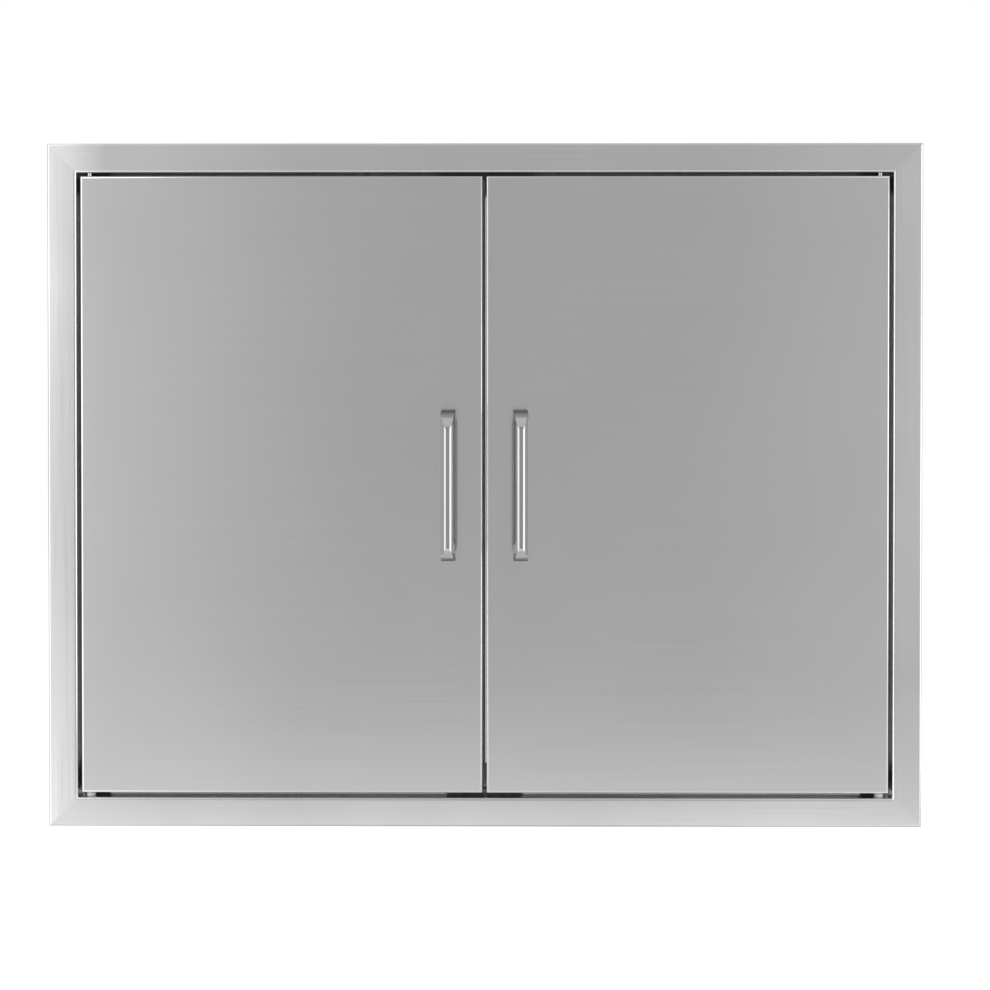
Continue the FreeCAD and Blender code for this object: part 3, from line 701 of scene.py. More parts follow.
# The frame's members are one steel: each member's own tone and its lighter ends are painted light
# and painted reflection, set by how the studio light falls on that member.
TOP_RAIL_STEEL = painted_light_member_steel("top_rail_steel", 0.665, Fade("X", -0.375, -0.34, 1.36, 1.0))
BOTTOM_RAIL_STEEL = painted_light_member_steel("bottom_rail_steel", 0.64, Fade("X", -0.37, -0.28, 1.13, 1.0),
                                 Fade("X", 0.10, 0.28, 1.0, 1.13))
LEFT_STILE_STEEL = painted_light_member_steel("left_stile_steel", 0.59, Fade("Z", -0.27, -0.06, 1.22, 1.0),
                                Fade("Z", 0.085, 0.18, 1.0, 1.15))
RIGHT_STILE_STEEL = painted_light_member_steel("right_stile_steel", 0.655, Fade("Z", -0.29, -0.17, 1.22, 1.0))
LINER_STEEL = BrushedSteel("liner_steel", (0.55, 0.55, 0.55), 0.36, stretch=0.5, swing=0.06)
BRACKET_STEEL = SolidMetal("bracket_steel", (0.56, 0.56, 0.57), 0.34, marks=(20, 400, 400))
BAR_CHROME = polished("bar_chrome", (0.43, 0.43, 0.44), 0.08)
# The lower end of the bottom foot is painted darker: painted shade where the foot turns into the
# door.
FOOT_SATIN = SolidMetal("foot_satin", (0.60, 0.60, 0.61), 0.2, marks=(900, 900, 120), swing=0.05,
                        depth=0.000006, fades=(Fade("Z", -0.0665, -0.060, 0.3, 1.0),), rim=0.35)
# A dark copy of the pull's metal for the feet's inner flanks: painted shade.
FOOT_FLANK_PAINTED_SHADE = polished("foot_flank", (0.19, 0.19, 0.195), 0.12)
ZINC = SolidMetal("zinc_plate", (0.60, 0.61, 0.63), 0.36, marks=(240, 240, 240))
FASTENER_STEEL = SolidMetal("fastener_steel", (0.55, 0.55, 0.55), 0.27, marks=(300, 300, 900))
PALE_ACETAL = Moulded("pale_acetal", (0.50, 0.50, 0.48), 0.42)
GREY_NYLON = Moulded("grey_nylon", (0.30, 0.31, 0.31), 0.5)
CASE_PLASTIC = Moulded("case_plastic", (0.13, 0.13, 0.135), 0.45)
PLUG_PLASTIC = Moulded("plug_plastic", (0.34, 0.34, 0.34), 0.45)
FERRITE = Moulded("magnet_ferrite", (0.045, 0.045, 0.048), 0.6, grains=3500)
RUBBER = Moulded("black_rubber", (0.05, 0.05, 0.05), 0.72, grains=1500, mottle=0.12)
STRIP_RUBBER = Moulded("strip_rubber", (0.34, 0.34, 0.34), 0.72, grains=1500, mottle=0.08)


def place(shape: BMesh, label: str, finishes: Sequence[Finish], body: str,
          nodes: Sequence[str] = (), slot: str | None = None, crease: float = 32.0) -> None:
    """Turns a shape in millimetres into a piece of the object.

    Args:
        shape: closed mesh, used up here.
        label: the piece's name.
        finishes: its finishes, by the material index of its faces.
        body: body that it rides on.
        nodes: CAD nodes that it stands for.
        slot: the record's material slot; not used.
        crease: angle in degrees above which an edge stays sharp.
    """
    bmesh.ops.scale(shape, vec=(MILLIMETRE,) * 3, verts=shape.verts)
    for face in shape.faces:
        face.smooth = True
    for edge in shape.edges:
        edge.smooth = edge.calc_face_angle(0.0) < math.radians(crease)
    piece = meshed(label, shape)
    for finish in finishes:
        piece.data.materials.append(finish.material())
    weighted = piece.modifiers.new("flat faces stay flat", "WEIGHTED_NORMAL")
    weighted.keep_sharp = True
    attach(piece, body)
    if nodes:
        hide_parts(*nodes)
    LOG.info("%s: %d faces on %s", label, len(piece.data.polygons), body)


def dress(node: str, finish: Finish) -> None:
    """Gives a CAD node a finish in place of its plain colour.

    Args:
        node: the node's name.
        finish: its new finish.
    """
    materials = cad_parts[node].data.materials
    materials.clear()
    materials.append(finish.material())
    LOG.info("%s: dressed in %s", node, finish.label)


# The object


@dataclass(frozen=True)
class Surround:
    """Mitred frame of folded sheet round the opening, with a dark foam strip on its rear lip that
    stands in for the shade in the gaps.
    """

    face_width: float = 26.5
    depth: float = 50.8
    lip: float = 14.0
    sheet: float = 1.2
    bend: float = 2.4
    hole_level: float = 200.0
    hole_depth: float = 28.0
    hole: float = 5.0
    shade_seal: float = 2.5
    shade_seal_margin: float = 0.6
    shade_seal_soft: float = 0.8

    @property
    def lip_front(self) -> float:
        """Level of the front of the rear lip."""
        return FACE + self.depth - self.sheet

    def member(self, reach: float, along: float) -> BMesh:
        """One member, lying as the top rail does.

        Args:
            reach: from the middle of the opening to the member's inner side.
            along: half the opening's size along the member.

        Returns:
            The mitred member.
        """
        path = [(0.0, reach + self.face_width), (FACE, reach + self.face_width), (FACE, reach),
                (self.lip_front, reach), (self.lip_front, reach - self.lip)]
        radii = (self.bend, self.bend, self.bend - self.sheet)
        shape = folded_strip(path, radii, 2 * (along + 2 * self.face_width), self.sheet)
        for sign in BOTH:
            cross_cut(shape, (sign * along, 0, reach), (sign, 0, -1))
            closed(shape)
        return shape

    def build(self) -> None:
        """Four members, each turned to its side, and the dark strip behind the doors that gives the
        gaps painted shade.
        """
        members = (("top_rail", TOP_RAIL_STEEL), ("right_stile", RIGHT_STILE_STEEL),
                   ("bottom_rail", BOTTOM_RAIL_STEEL), ("left_stile", LEFT_STILE_STEEL))
        for quarter, (label, steel) in enumerate(members):
            upright = quarter % 2 == 1
            shape = self.member(*((OPENING_X, OPENING_Z) if upright else (OPENING_Z, OPENING_X)))
            turn = Matrix.Rotation(math.radians(90 * quarter), 4, "Y")
            bmesh.ops.transform(shape, matrix=turn, verts=shape.verts)
            if upright:
                side = math.copysign(OPENING_X, 2 - quarter)
                holes = [(side, self.hole_depth, sign * self.hole_level) for sign in BOTH]
                shape = drilled(shape, holes, (1, 0, 0), self.hole, 5)
            unroll(shape, Grain.UPRIGHT if upright else Grain.LEVEL, FACE)
            place(shape, f"frame_{label}_sheet", [steel], "frame", [f"frame_{label}"],
                  "frame_steel")
        self.build_shade_seal()

    def build_shade_seal(self) -> None:
        """Black foam strip round the front of the rear lip, like a gasket, put there as painted
        shade so that the gaps read dark.
        """
        back, front = self.lip_front, self.lip_front - self.shade_seal
        shape, hollow = bmesh.new(), bmesh.new()
        for part, inset, y in ((shape, self.shade_seal_margin, (front, back)),
                               (hollow, self.lip - self.shade_seal_margin, about(back, 18))):
            add_block(part, about(0, 2 * (OPENING_X - inset)), y,
                      about(0, 2 * (OPENING_Z - inset)))
        shape = carve(shape, hollow, Cut.AWAY)
        rims = edges_where(shape, lambda spot: near(spot.y, front))
        soften(shape, [e for e in rims if e.calc_face_angle(0.0) > 1], self.shade_seal_soft, 3)
        # Painted shade: a dark strip behind gaps that hold only shade.
        place(shape, "rear_lip_shade_seal", [RUBBER], "frame", slot="rubber_black")


@dataclass(frozen=True)
class PivotHardware:
    """Headed pins through the rails, with the thrust washers under the lower bushes."""

    engagement: float = 12.0
    pin: float = 4.0
    tip: float = 0.6
    head_width: float = 7.0
    head_height: float = 2.0
    inside_head: float = 0.4
    washer: float = 8.0
    washer_bore: float = 4.1
    washer_height: float = 2.6
    washer_soft: float = 0.3

    def build(self) -> None:
        """Pins, washers and the dressed doubler plates."""
        half, root = self.pin / 2, self.inside_head
        for word, level, edge in (("top", 1, DOOR_TOP), ("bottom", -1, DOOR_BOTTOM)):
            shape = bmesh.new()
            length = PLATE_LEVEL - level * edge + self.engagement
            for sign in BOTH:
                axes = placed((sign * PIVOT_X, PIVOT_Y, level * PLATE_LEVEL), 90 - 90 * level)
                add_turning(shape, [(0, root), (half, root), (half, self.tip - length),
                                    (half - self.tip, -length), (0, -length)], axes, PIN_STEPS)
                add_hexagon(shape, self.head_width, self.head_height, axes)
            place(closed(shape), f"{word}_pins_turned", [FASTENER_STEEL], "frame",
                  [f"{word}_pivot_pins"], "pin_steel")
        shape = bmesh.new()
        inner, outer, tall = self.washer_bore / 2, self.washer / 2, self.washer_height
        soft = self.washer_soft
        for sign in BOTH:
            add_turning(shape, [
                (inner, 0), (outer - soft, 0), (outer, soft), (outer, tall - soft),
                (outer - soft, tall), (inner + soft, tall), (inner, tall - soft), (inner, 0),
            ], placed((sign * PIVOT_X, PIVOT_Y, -OPENING_Z)))
        place(closed(shape), "thrust_washers", [PALE_ACETAL], "frame",
              ["bottom_pivot_washers"], "bush_plastic", crease=50)
        dress("pivot_doubler_plates", ZINC)


@dataclass(frozen=True)
class MagneticCatch:
    """Twin catch under the top rail: moulded case, magnets, pole plates and screws.

    Attributes:
        head_round: points of a screw head's top as shares of its radius and height.
        tip: radius at the end of a screw's point.
    """

    length: float = 90.0
    front: float = 13.8
    back: float = 28.8
    height: float = 18.0
    soft_edge: float = 1.4
    pitch: float = 44.0
    slot_length: float = 26.1
    slot_height: float = 6.5
    slot_depth: float = 10.55
    pocket: float = 5.0
    pocket_pitch: float = 9.0
    pocket_height: float = 1.2
    pocket_walls: Point = (3.0, 3.5)
    screw_pitch: float = 80.0
    screw_y: float = 25.8
    screw_head: float = 6.0
    head_height: float = 1.8
    shank: float = 3.2
    point: float = 1.4
    head_round: tuple[Point, ...] = ((0.55, 0.94), (0.85, 0.7), (1.0, 0.3))
    tip: float = 0.2
    recess: Point = (1.7, 0.45)
    recess_floor: float = 0.7

    def build(self) -> None:
        """Case with slots in its front and pockets in its underside, then the screws."""
        bottom = OPENING_Z - self.height
        shape, tool = bmesh.new(), bmesh.new()
        add_block(shape, about(0, self.length), (self.front, self.back), (bottom, OPENING_Z))
        soften(shape, edges_where(shape, lambda spot: spot.z < OPENING_Z - 1), self.soft_edge, 4)
        for sign in BOTH:
            centre = sign * self.pitch / 2
            add_block(tool, about(centre, self.slot_length),
                      (self.front - 2, self.front + self.slot_depth),
                      about(OPENING_Z - self.height / 2, self.slot_height))
            for step in (-1, 0, 1):
                add_block(tool, about(centre + step * self.pocket_pitch, self.pocket),
                          (self.front + self.pocket_walls[0], self.back - self.pocket_walls[1]),
                          (bottom - 2, bottom + self.pocket_height))
        place(closed(carve(shape, tool, Cut.AWAY)), "catch_case_moulded", [CASE_PLASTIC], "frame",
              ["catch_case"], "catch_plastic")
        self.build_screws(bottom)
        dress("catch_magnets", FERRITE)
        dress("catch_pole_plates", ZINC)

    def build_screws(self, bottom: float) -> None:
        """Pan-headed screws with a cross recess, heads down.

        Args:
            bottom: level of the case's underside.
        """
        shape, end = bmesh.new(), bottom - PLATE_LEVEL
        head, tall, half = self.screw_head / 2, self.head_height, self.shank / 2
        outline = [(0, tall), *((head * out, tall * up) for out, up in self.head_round)]
        outline += [(head, 0), (half, 0), (half, end + self.point), (self.tip, end), (0, end)]
        spots = [(sign * self.screw_pitch / 2, self.screw_y, bottom) for sign in BOTH]
        for spot in spots:
            add_turning(shape, outline, placed(spot, 180), PIN_STEPS)
        for wide, deep in (self.recess, self.recess[::-1]):
            slots = bmesh.new()
            for x, y, z in spots:
                add_block(slots, about(x, 2 * wide), about(y, 2 * deep),
                          (z - 3, z - self.recess_floor))
            shape = carve(closed(shape), slots, Cut.AWAY)
        place(closed(shape), "catch_screws_turned", [FASTENER_STEEL], "frame", ["catch_screws"],
              "screw_steel")


@dataclass(frozen=True)
class LowerStop:
    """Folded bracket on the bottom rail with the two rubber bumpers that the doors meet.

    Attributes:
        dome: points of a bumper's top as shares of its radius and height.
    """

    front: float = 15.3
    back: float = 35.3
    top: float = -263.5
    length: float = 70.0
    sheet: float = 1.5
    bend: float = 2.4
    corner: float = 3.0
    weld: float = 5.0
    weld_pitch: float = 44.0
    weld_y: float = 27.3
    bumper: float = 8.0
    bumper_height: float = 3.0
    bumper_pitch: float = 36.0
    bumper_level: float = -269.5
    dome: tuple[Point, ...] = ((1.0, 0.5), (0.94, 0.75), (0.75, 0.92), (0.4, 1.0))

    def build(self) -> None:
        """Bracket with softened corners and weld dimples, then the bumpers."""
        path = [(self.front, self.top), (self.front, -OPENING_Z), (self.back, -OPENING_Z)]
        shape = folded_strip(path, (self.bend,), self.length, self.sheet)
        tips = edges_where(shape, lambda spot: near(abs(spot.x), self.length / 2)
                           and (spot.z > self.top - 0.1 or spot.y > self.back - 0.1))
        soften(shape, tips, self.corner, 4)
        dimples = [(sign * self.weld_pitch / 2, self.weld_y, self.sheet - OPENING_Z)
                   for sign in BOTH]
        shape = drilled(closed(shape), dimples, (0, 0, 1), self.weld, 0.25)
        unroll(shape, Grain.LEVEL, self.front)
        place(shape, "stop_bracket_folded", [BRACKET_STEEL], "frame", ["lower_stop_bracket"],
              "plate_steel")
        shape = bmesh.new()
        radius, tall = self.bumper / 2, self.bumper_height
        outline = [(0, 0), (radius, 0), *((radius * out, tall * up) for out, up in self.dome),
                   (0, tall)]
        for sign in BOTH:
            spot = (sign * self.bumper_pitch / 2, self.front, self.bumper_level)
            add_turning(shape, outline, placed(spot, 90))
        place(closed(shape), "stop_bumpers_moulded", [RUBBER], "frame", ["stop_bumpers"],
              "rubber_black", crease=60)


@dataclass(frozen=True)
class Door:
    """One hollow door: folded skin, folded liner, bushes, pivot blocks and strike plate."""

    side: Side
    free_edge: float = 1.6
    hinged_edge: float = 363.8
    sheet: float = 1.0
    bend: float = 2.4
    liner_front: float = 4.0
    liner_bend: float = 1.8
    fit: float = 0.05
    bush: float = 6.0
    bush_bore: float = 4.1
    bush_height: float = 15.05
    bush_soft: float = 0.25
    flange: float = 7.6
    flange_height: float = 1.3
    access_hole: float = 14.0
    strike_x: float = 22.0
    strike_z: float = 272.5
    strike_length: float = 34.0
    strike_height: float = 7.0
    strike_corner: float = 1.2
    strike_edge: float = 0.2
    weld: float = 3.0
    weld_pitch: float = 12.0

    def spans(self, inset: float, front: float) -> Spans:
        """What a pan fills of X, Y and Z inside the door's outline.

        Args:
            inset: how far it lies inside the outline.
            front: level of its front.

        Returns:
            A span of each axis.
        """
        ends = sorted((self.side.value * (self.free_edge + inset),
                       self.side.value * (self.hinged_edge - inset)))
        return (tuple(ends), (front, DOOR_BACK), (DOOR_BOTTOM + inset, DOOR_TOP - inset))

    def build(self) -> None:
        """Every piece of the door but its pull."""
        sign = self.side.value
        skin = folded_pan(self.spans(0.0, FACE), True, self.bend, self.sheet)
        ends = [(sign * PIVOT_X, PIVOT_Y, level) for level in (DOOR_BOTTOM, DOOR_TOP)]
        skin = drilled(skin, ends, (0, 0, 1), self.bush + 2 * self.fit, 4)
        unroll(skin, Grain.LEVEL, FACE)
        self.side.place(skin, "skin_folded", [SKIN_STEEL], "door_skin", "door_steel")

        spans = self.spans(self.sheet + self.fit, self.liner_front)
        liner = folded_pan(spans, False, self.liner_bend, self.sheet)
        holes = [(sign * PULL_X, DOOR_BACK, level) for level in about(PULL_LEVEL, PULL_CENTRES)]
        liner = drilled(liner, holes, (0, 1, 0), self.access_hole, 4)
        unroll(liner, Grain.LEVEL, DOOR_BACK)
        self.side.place(liner, "liner_folded", [LINER_STEEL], "door_liner", "liner_steel")
        self.build_bushes(sign * PIVOT_X)
        self.build_strike(sign * self.strike_x)
        dress(f"{self.side.word}_door_pivot_blocks", GREY_NYLON)

    def build_bushes(self, pivot: float) -> None:
        """Upper and lower bush, the lower one with its flange below the door.

        Args:
            pivot: X of the door's axis.
        """
        shape = bmesh.new()
        bore, outside, rim = self.bush_bore / 2, self.bush / 2, self.flange / 2
        tall, low, soft = self.bush_height, -self.flange_height, self.bush_soft
        add_turning(shape, [
            (bore, 0), (outside, 0), (outside, tall), (bore + soft, tall), (bore, tall - soft),
            (bore, 0),
        ], placed((pivot, PIVOT_Y, DOOR_TOP - tall)))
        add_turning(shape, [
            (bore, soft + low), (bore + soft, low), (rim - soft, low), (rim, soft + low), (rim, 0),
            (outside, 0), (outside, tall), (bore, tall), (bore, soft + low),
        ], placed((pivot, PIVOT_Y, DOOR_BOTTOM)))
        self.side.place(closed(shape), "bushes_turned", [PALE_ACETAL], "door_bushes",
                        "bush_plastic", crease=50)

    def build_strike(self, centre: float) -> None:
        """Strike plate with soft corners and three weld dimples.

        Args:
            centre: X of its middle.
        """
        shape, back = bmesh.new(), DOOR_BACK + self.sheet
        add_block(shape, about(centre, self.strike_length), (DOOR_BACK, back),
                  about(self.strike_z, self.strike_height))
        corners = [e for e in shape.edges if abs(e.verts[0].co.y - e.verts[1].co.y) > 0.5]
        soften(shape, corners, self.strike_corner, 4)
        soften(shape, edges_where(shape, lambda spot: near(spot.y, back)), self.strike_edge, 2)
        dimples = [(centre + step * self.weld_pitch, back, self.strike_z) for step in (-1, 0, 1)]
        shape = drilled(closed(shape), dimples, (0, 1, 0), self.weld, 0.15)
        self.side.place(shape, "strike_pressed", [ZINC], "strike_plate", "plate_steel")


@dataclass(frozen=True)
class Pull:
    """Arched pull of one door, with the fixings behind it.

    Attributes:
        sweep: height over which an end bends from the bar to the door.
        satin_start: height on the pull from which its front is satin.
        ridge: radius of the bar's round front.
        flank: how far each flank of the bar is turned from the front, in degrees.
        side_turn: least share of X in the normal of a face that looks to a side.
        rise: least share of Z in the normal of a foot's flank that is painted dark as shade.
        overlap: how far the bar's sides pass those of the bow.
        beyond: how far the bar passes the ends of the bow.
        plug_round: points of a plug's edge, by their distance from its side and its top.
    """

    side: Side
    half_length: float = 67.0
    projection: float = 32.0
    width: float = 13.4
    depth: float = 10.2
    foot_height: float = 9.0
    sweep: float = 17.5
    satin_start: float = 54.0
    inner_bend: float = 2.0
    soft_edge: float = 0.7
    ridge: float = 5.1
    painted_shade_flank: float = 45.0
    painted_shade_flank_edge: float = 0.8
    side_turn: float = 0.3
    rise: float = 0.05
    overlap: float = 0.02
    beyond: float = 10.0
    plug: float = 13.9
    plug_length: float = 4.0
    plug_proud: float = 0.8
    plug_round: tuple[Point, ...] = ((0.0, 0.7), (0.25, 0.25), (0.9, 0.05), (2.78, 0.0))

    def build(self) -> None:
        """The pull and the plugs; the backing plate and screws keep their shape."""
        shape = carve(self.bow(), self.core(), Cut.COMMON)
        for face in shape.faces:
            face.normal_update()
            face.material_index = self.zone(face).value
        centre = self.side.value * PULL_X
        bmesh.ops.translate(shape, verts=shape.verts, vec=(centre, 0, PULL_LEVEL))
        # The third finish paints shade on the feet's inner flanks.
        self.side.place(shape, "pull_polished", [BAR_CHROME, FOOT_SATIN, FOOT_FLANK_PAINTED_SHADE], "pull",
                        "pull_steel", crease=24)
        self.build_plugs(centre)
        dress(f"{self.side.word}_pull_backer", ZINC)
        dress(f"{self.side.word}_pull_screws", FASTENER_STEEL)

    def zone(self, face: BMFace) -> Zone:
        """Kind of a face: bar, front or back of a foot, or a foot's flank toward the other door,
        which gets painted shade.

        Args:
            face: face of the pull, before the pull is placed.

        Returns:
            The kind.
        """
        inward = -self.side.value * face.normal.x
        if abs(face.calc_center_median().z) <= self.satin_start:
            return Zone.BAR
        if abs(inward) < self.side_turn:
            return Zone.FOOT
        # Slanted inner flanks get the painted shade finish.
        slanted = inward > self.side_turn and abs(face.normal.z) > self.rise
        return Zone.PAINTED_SHADE_FLANK if slanted else Zone.BAR

    def front(self) -> list[Corner]:
        """The front of a foot, from the door to the bar: a bend, then ever steeper to the door.

        Returns:
            Turn of the bend, height on the pull and depth behind the bar's front, step by step.
        """
        steps = []
        for step in range(SWEEP_STEPS + 1):
            turn = math.radians(90 * step / SWEEP_STEPS)
            fall = 1 - math.sin(turn)
            depth = self.sweep * fall + (self.projection - self.sweep) * fall ** 3
            steps.append((turn, self.half_length - self.sweep * (1 - math.cos(turn)), depth))
        return steps

    def bow(self) -> BMesh:
        """The pull's side view, pulled to its full width: a bar whose ends sweep to the door.

        Returns:
            The closed bow, centred on X.
        """
        half, foot = self.width / 2, self.half_length - self.foot_height
        front = FACE - self.projection
        inside = front + self.depth
        sweep = [(front + depth, z) for _, z, depth in self.front()]
        outline = sweep + [(y, -z) for y, z in reversed(sweep)]
        outline += [(FACE, -foot), (inside, -foot), (inside, foot), (FACE, foot)]
        shape = bmesh.new()
        side = shape.faces.new([shape.verts.new((-half, y, z)) for y, z in outline])
        ends = new_ends(bmesh.ops.extrude_face_region(shape, geom=[side]))
        bmesh.ops.translate(shape, verts=ends, vec=(self.width, 0, 0))
        bmesh.ops.recalc_face_normals(shape, faces=shape.faces)
        corners = edges_where(shape, lambda spot: near(spot.y, inside) and near(abs(spot.z), foot))
        corners = [edge for edge in corners if near(edge.verts[0].co.z, edge.verts[1].co.z)]
        soften(shape, corners, self.inner_bend, 4)
        rims = [edge for edge in edges_where(shape, lambda spot: near(abs(spot.x), half))
                if near(edge.verts[0].co.x, edge.verts[1].co.x)
                and not all(near(vertex.co.y, FACE) for vertex in edge.verts)]
        soften(shape, rims, self.soft_edge, 3)
        return closed(shape)

    def core(self) -> BMesh:
        """Bar with a round ridge and two flat flanks, which withdraw into the feet.

        Returns:
            The closed bar, centred on X.
        """
        turn, radius = math.radians(self.painted_shade_flank), self.painted_shade_flank_edge
        reach = self.width / 2 + self.overlap
        across = reach - radius
        along = (across * math.sin(turn) - self.ridge + radius) / math.cos(turn)
        arc = [turn * step / RIDGE_STEPS for step in range(RIDGE_STEPS + 1)]
        rim = [turn + (math.pi / 2 - turn) * step / RIM_STEPS for step in range(RIM_STEPS + 1)]
        half = [(self.ridge * math.sin(a), -self.ridge * math.cos(a)) for a in arc]
        half += [(across + radius * math.sin(a), along - radius * math.cos(a)) for a in rim]
        half.append((reach, self.projection))
        outline = half + [(-x, y) for x, y in reversed(half[1:])]

        edge, dip = self.ridge * math.sin(turn), self.ridge * (1 - math.cos(turn))
        levels = []
        for angle, z, depth in self.front():
            facet = (self.width / 2 - edge) * math.cos(angle) ** 2
            levels.append((z, max(depth - dip - facet / math.tan(turn), 0.0)))
        levels.insert(0, (self.half_length + self.beyond, levels[0][1]))
        levels = [(-z, shift) for z, shift in levels] + levels[::-1]
        first, drop = levels[0]
        shape = bmesh.new()
        points = [shape.verts.new((x, y + drop, first)) for x, y in outline]
        ring = [shape.edges.new(pair) for pair in zip(points, points[1:] + points[:1])]
        for (low, before), (high, after) in zip(levels, levels[1:]):
            tips = new_ends(bmesh.ops.extrude_edge_only(shape, edges=ring))
            fresh = set(tips)
            ring = [edge for edge in shape.edges if set(edge.verts) <= fresh]
            bmesh.ops.translate(shape, vec=(0, after - before, high - low), verts=tips)
        middle = FACE - self.projection + self.ridge
        bmesh.ops.translate(shape, vec=(0, middle, 0), verts=shape.verts)
        return closed(shape)

    def build_plugs(self, centre: float) -> None:
        """Plugs in the liner's access holes, slightly domed.

        Args:
            centre: X of the pull.
        """
        shape = bmesh.new()
        radius, end = self.plug / 2, self.plug_length
        outline = [(0, 0), (radius, 0),
                   *((radius - side, end - top) for side, top in self.plug_round), (0, end)]
        for level in about(PULL_LEVEL, PULL_CENTRES):
            spot = (centre, DOOR_BACK + self.plug_proud - end, level)
            add_turning(shape, outline, placed(spot, -90))
        self.side.place(closed(shape), "plugs_moulded", [PLUG_PLASTIC], "liner_plugs",
                        "plug_plastic", crease=60)


@dataclass(frozen=True)
class MeetingStrip:
    """Rubber strip on the left door's free edge whose fin closes the middle gap."""

    stuck: float = -1.6
    base: float = 0.8
    front: float = 4.0
    fin: float = 1.0
    tip: float = 1.1
    heights: Point = (-275.1, 276.3)
    base_soft: float = 0.35
    tip_soft: float = 0.4

    def build(self) -> None:
        """Base and fin as one moulding with rounded edges."""
        shape, outside = bmesh.new(), self.stuck + self.base
        add_block(shape, (self.stuck, outside), (self.front, DOOR_BACK), self.heights)
        soften(shape, edges_where(shape, lambda spot: near(spot.x, outside)), self.base_soft, 3)
        fin = set(add_block(shape, (self.stuck + self.base / 2, self.tip),
                            about((self.front + DOOR_BACK) / 2, self.fin), self.heights))
        tips = edges_where(shape, lambda spot: near(spot.x, self.tip))
        soften(shape, [edge for edge in tips if set(edge.verts) <= fin], self.tip_soft, 3)
        Side.LEFT.place(closed(shape), "meeting_strip_moulded", [STRIP_RUBBER], "meeting_strip",
                        "rubber_black")


# The studio


@dataclass(frozen=True)
class Lamp:
    """One soft box, placed in metres and aimed at the object."""

    label: str
    place: Corner
    size: Point
    radiance: float

    def build(self) -> None:
        """Adds the lamp, bright enough to look as bright as its radiance says."""
        data = bpy.data.lights.new(self.label, "AREA")
        data.shape = "RECTANGLE"
        data.size, data.size_y = self.size
        data.energy = self.radiance * math.pi * self.size[0] * self.size[1]
        lamp = linked(self.label, data)
        lamp.location = self.place
        lamp.rotation_euler = (-Vector(self.place)).to_track_quat("-Z", "Y").to_euler()
        lamp.visible_camera = False
        lamp.visible_glossy = False
        LOG.info("%s: lamp", self.label)


@dataclass(frozen=True)
class Card:
    """One upright white card that the metal mirrors, from one plan point to another, in metres."""

    label: str
    start: Point
    end: Point
    levels: Point
    radiance: float

    def build(self) -> None:
        """Adds the card, drawn up from its lower edge."""
        shape, (low, high) = bmesh.new(), self.levels
        foot = shape.edges.new([shape.verts.new((*spot, low)) for spot in (self.start, self.end)])
        top = new_ends(bmesh.ops.extrude_edge_only(shape, edges=[foot]))
        bmesh.ops.translate(shape, verts=top, vec=(0, 0, high - low))
        graph = Graph(bpy.data.materials.new(self.label), "Emission")
        graph.settle(Color=WHITE, Strength=self.radiance)
        stage_piece(shape, self.label)


def stage_piece(shape: BMesh, label: str, mirrored: bool = True) -> bpy.types.Object:
    """Adds a mesh in metres that isn't part of the object, in the material of its name.

    Args:
        shape: the mesh, used up here.
        label: its name.
        mirrored: whether only reflections show it, while the eye, soft light and shadows pass by.

    Returns:
        The object.
    """
    item = meshed(label, shape)
    item.data.materials.append(bpy.data.materials[label])
    item.visible_camera = not mirrored
    item.visible_diffuse = not mirrored
    item.visible_shadow = not mirrored
    LOG.info("%s: stage", label)
    return item


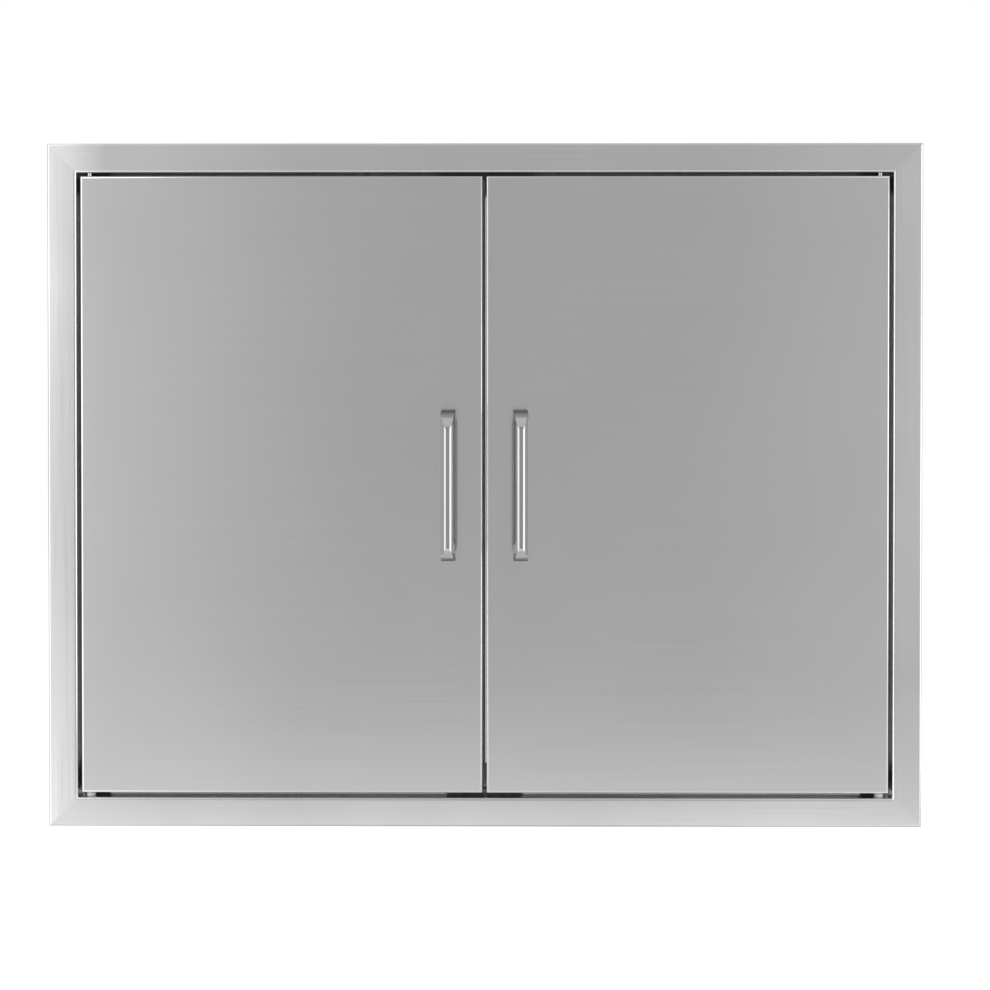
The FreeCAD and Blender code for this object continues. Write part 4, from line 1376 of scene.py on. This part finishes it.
@dataclass(frozen=True)
class Studio:
    """Pale floor, white surroundings and soft boxes, with the cards and tent that steel mirrors.

    Attributes:
        floor_glow: how bright the floor is by itself where it is seen.
        dim_white: how bright the surroundings are as light; they are white where they are seen.
        tent_glows: changes of the tent's tone as axis, start and stop in radii, and gain.
    """

    floor_level: float = -1.35
    floor_size: float = 14.0
    floor_glow: float = 0.4
    dim_white: float = 0.85
    tent_radius: float = 2.9
    tent_back: float = 2.2
    tent_tone: float = 0.56
    tent_glows: tuple[tuple[str, float, float, float], ...] = (
        ("X", -0.10, -0.46, 0.18), ("X", 0.20, 0.50, 0.10), ("Z", 0.35, 0.7, 0.15),
        ("Z", -0.43, -0.49, 0.78), ("Z", -0.56, -0.68, -0.65),
    )

    def build(self) -> None:
        """Everything round the object."""
        self.build_world()
        self.build_floor()
        self.build_tent()
        for item in (
            Lamp("left_box", (-2.4, -1.95, 0.3), (2.3, 2.4), 1.8),
            Lamp("right_box", (2.5, -1.8, 0.3), (2.1, 2.4), 1.7),
            Lamp("top_box", (-1.7, -1.1, 1.9), (1.2, 1.0), 1.5),
            Card("left_card", (-0.91, -1.2), (-1.75, -0.62), (-1.0, 1.2), 2.2),
            Card("right_card", (1.78, -2.15), (2.75, -0.5), (-1.2, 1.6), 2.45),
        ):
            item.build()

    def build_world(self) -> None:
        """White where it is seen, and a little dimmer as light."""
        world = bpy.data.worlds.new("surroundings")
        bpy.context.scene.world = world
        graph = Graph(world, "Background")
        glow = graph.spread(graph.seen(), (self.dim_white, 1.0), (0.0, 1.0))
        graph.settle(Color=WHITE, Strength=glow)

    def build_floor(self) -> None:
        """A wide floor, far below, that keeps the object's shadow and that metal doesn't mirror."""
        shape = bmesh.new()
        bmesh.ops.create_grid(shape, x_segments=8, y_segments=8, size=self.floor_size / 2,
                              matrix=Matrix.Translation((0, 0, self.floor_level)))
        graph = Graph(bpy.data.materials.new("floor"), "BsdfPrincipled")
        glow = graph.spread(graph.seen(), (0.0, self.floor_glow), (0.0, 1.0))
        graph.settle(Base_Color=(0.82, 0.82, 0.82, 1), Roughness=0.9, Specular_IOR_Level=0.1,
                     Emission_Color=WHITE, Emission_Strength=glow)
        stage_piece(shape, "floor", mirrored=False).visible_glossy = False

    def build_tent(self) -> None:
        """Grey tent round the front, which only reflections show: lighter above and at the sides."""
        shape = bmesh.new()
        bmesh.ops.create_uvsphere(shape, u_segments=48, v_segments=24, radius=self.tent_radius)
        cross_cut(shape, (0, self.tent_back, 0), (0, 1, 0))
        graph, tone = Graph(bpy.data.materials.new("grey_tent"), "Emission"), self.tent_tone
        for axis, start, stop, gain in self.tent_glows:
            span = (start * self.tent_radius, stop * self.tent_radius)
            rise = graph.spread(graph.along(axis), (0.0, gain), span, "SMOOTHSTEP")
            tone = graph.node("Math", {0: tone, 1: rise}, operation="ADD")
        graph.settle(Color=WHITE, Strength=tone)
        stage_piece(shape, "grey_tent")


@dataclass(frozen=True)
class Viewpoint:
    """Camera in front of the doors and a little above their middle, as in the photograph."""

    place: Corner = (0.004, -1.058, 0.133)
    pitch: float = -0.475
    yaw: float = 0.25
    lens: float = 42.52
    sensor: float = 36.0
    right_pixels: float = 11.2
    down_pixels: float = 147.3

    def build(self) -> None:
        """Adds the camera and makes it the scene's."""
        data = bpy.data.cameras.new("viewpoint")
        data.lens = self.lens
        data.sensor_width = self.sensor
        data.shift_x = self.right_pixels / PHOTO_PIXELS
        data.shift_y = -self.down_pixels / PHOTO_PIXELS
        data.clip_start, data.clip_end = 0.05, 60
        camera = linked("viewpoint", data)
        camera.location = self.place
        camera.rotation_euler = (math.radians(90 + self.pitch), 0, math.radians(self.yaw))
        bpy.context.scene.camera = camera


def main() -> None:
    logging.basicConfig(level=logging.INFO, format="%(name)s %(message)s", force=True)
    bpy.context.scene.view_settings.view_transform = "Standard"
    Viewpoint().build()
    Studio().build()
    Surround().build()
    PivotHardware().build()
    MagneticCatch().build()
    LowerStop().build()
    for side in Side:
        Door(side).build()
        Pull(side).build()
    MeetingStrip().build()


if __name__ == "__main__":
    main()
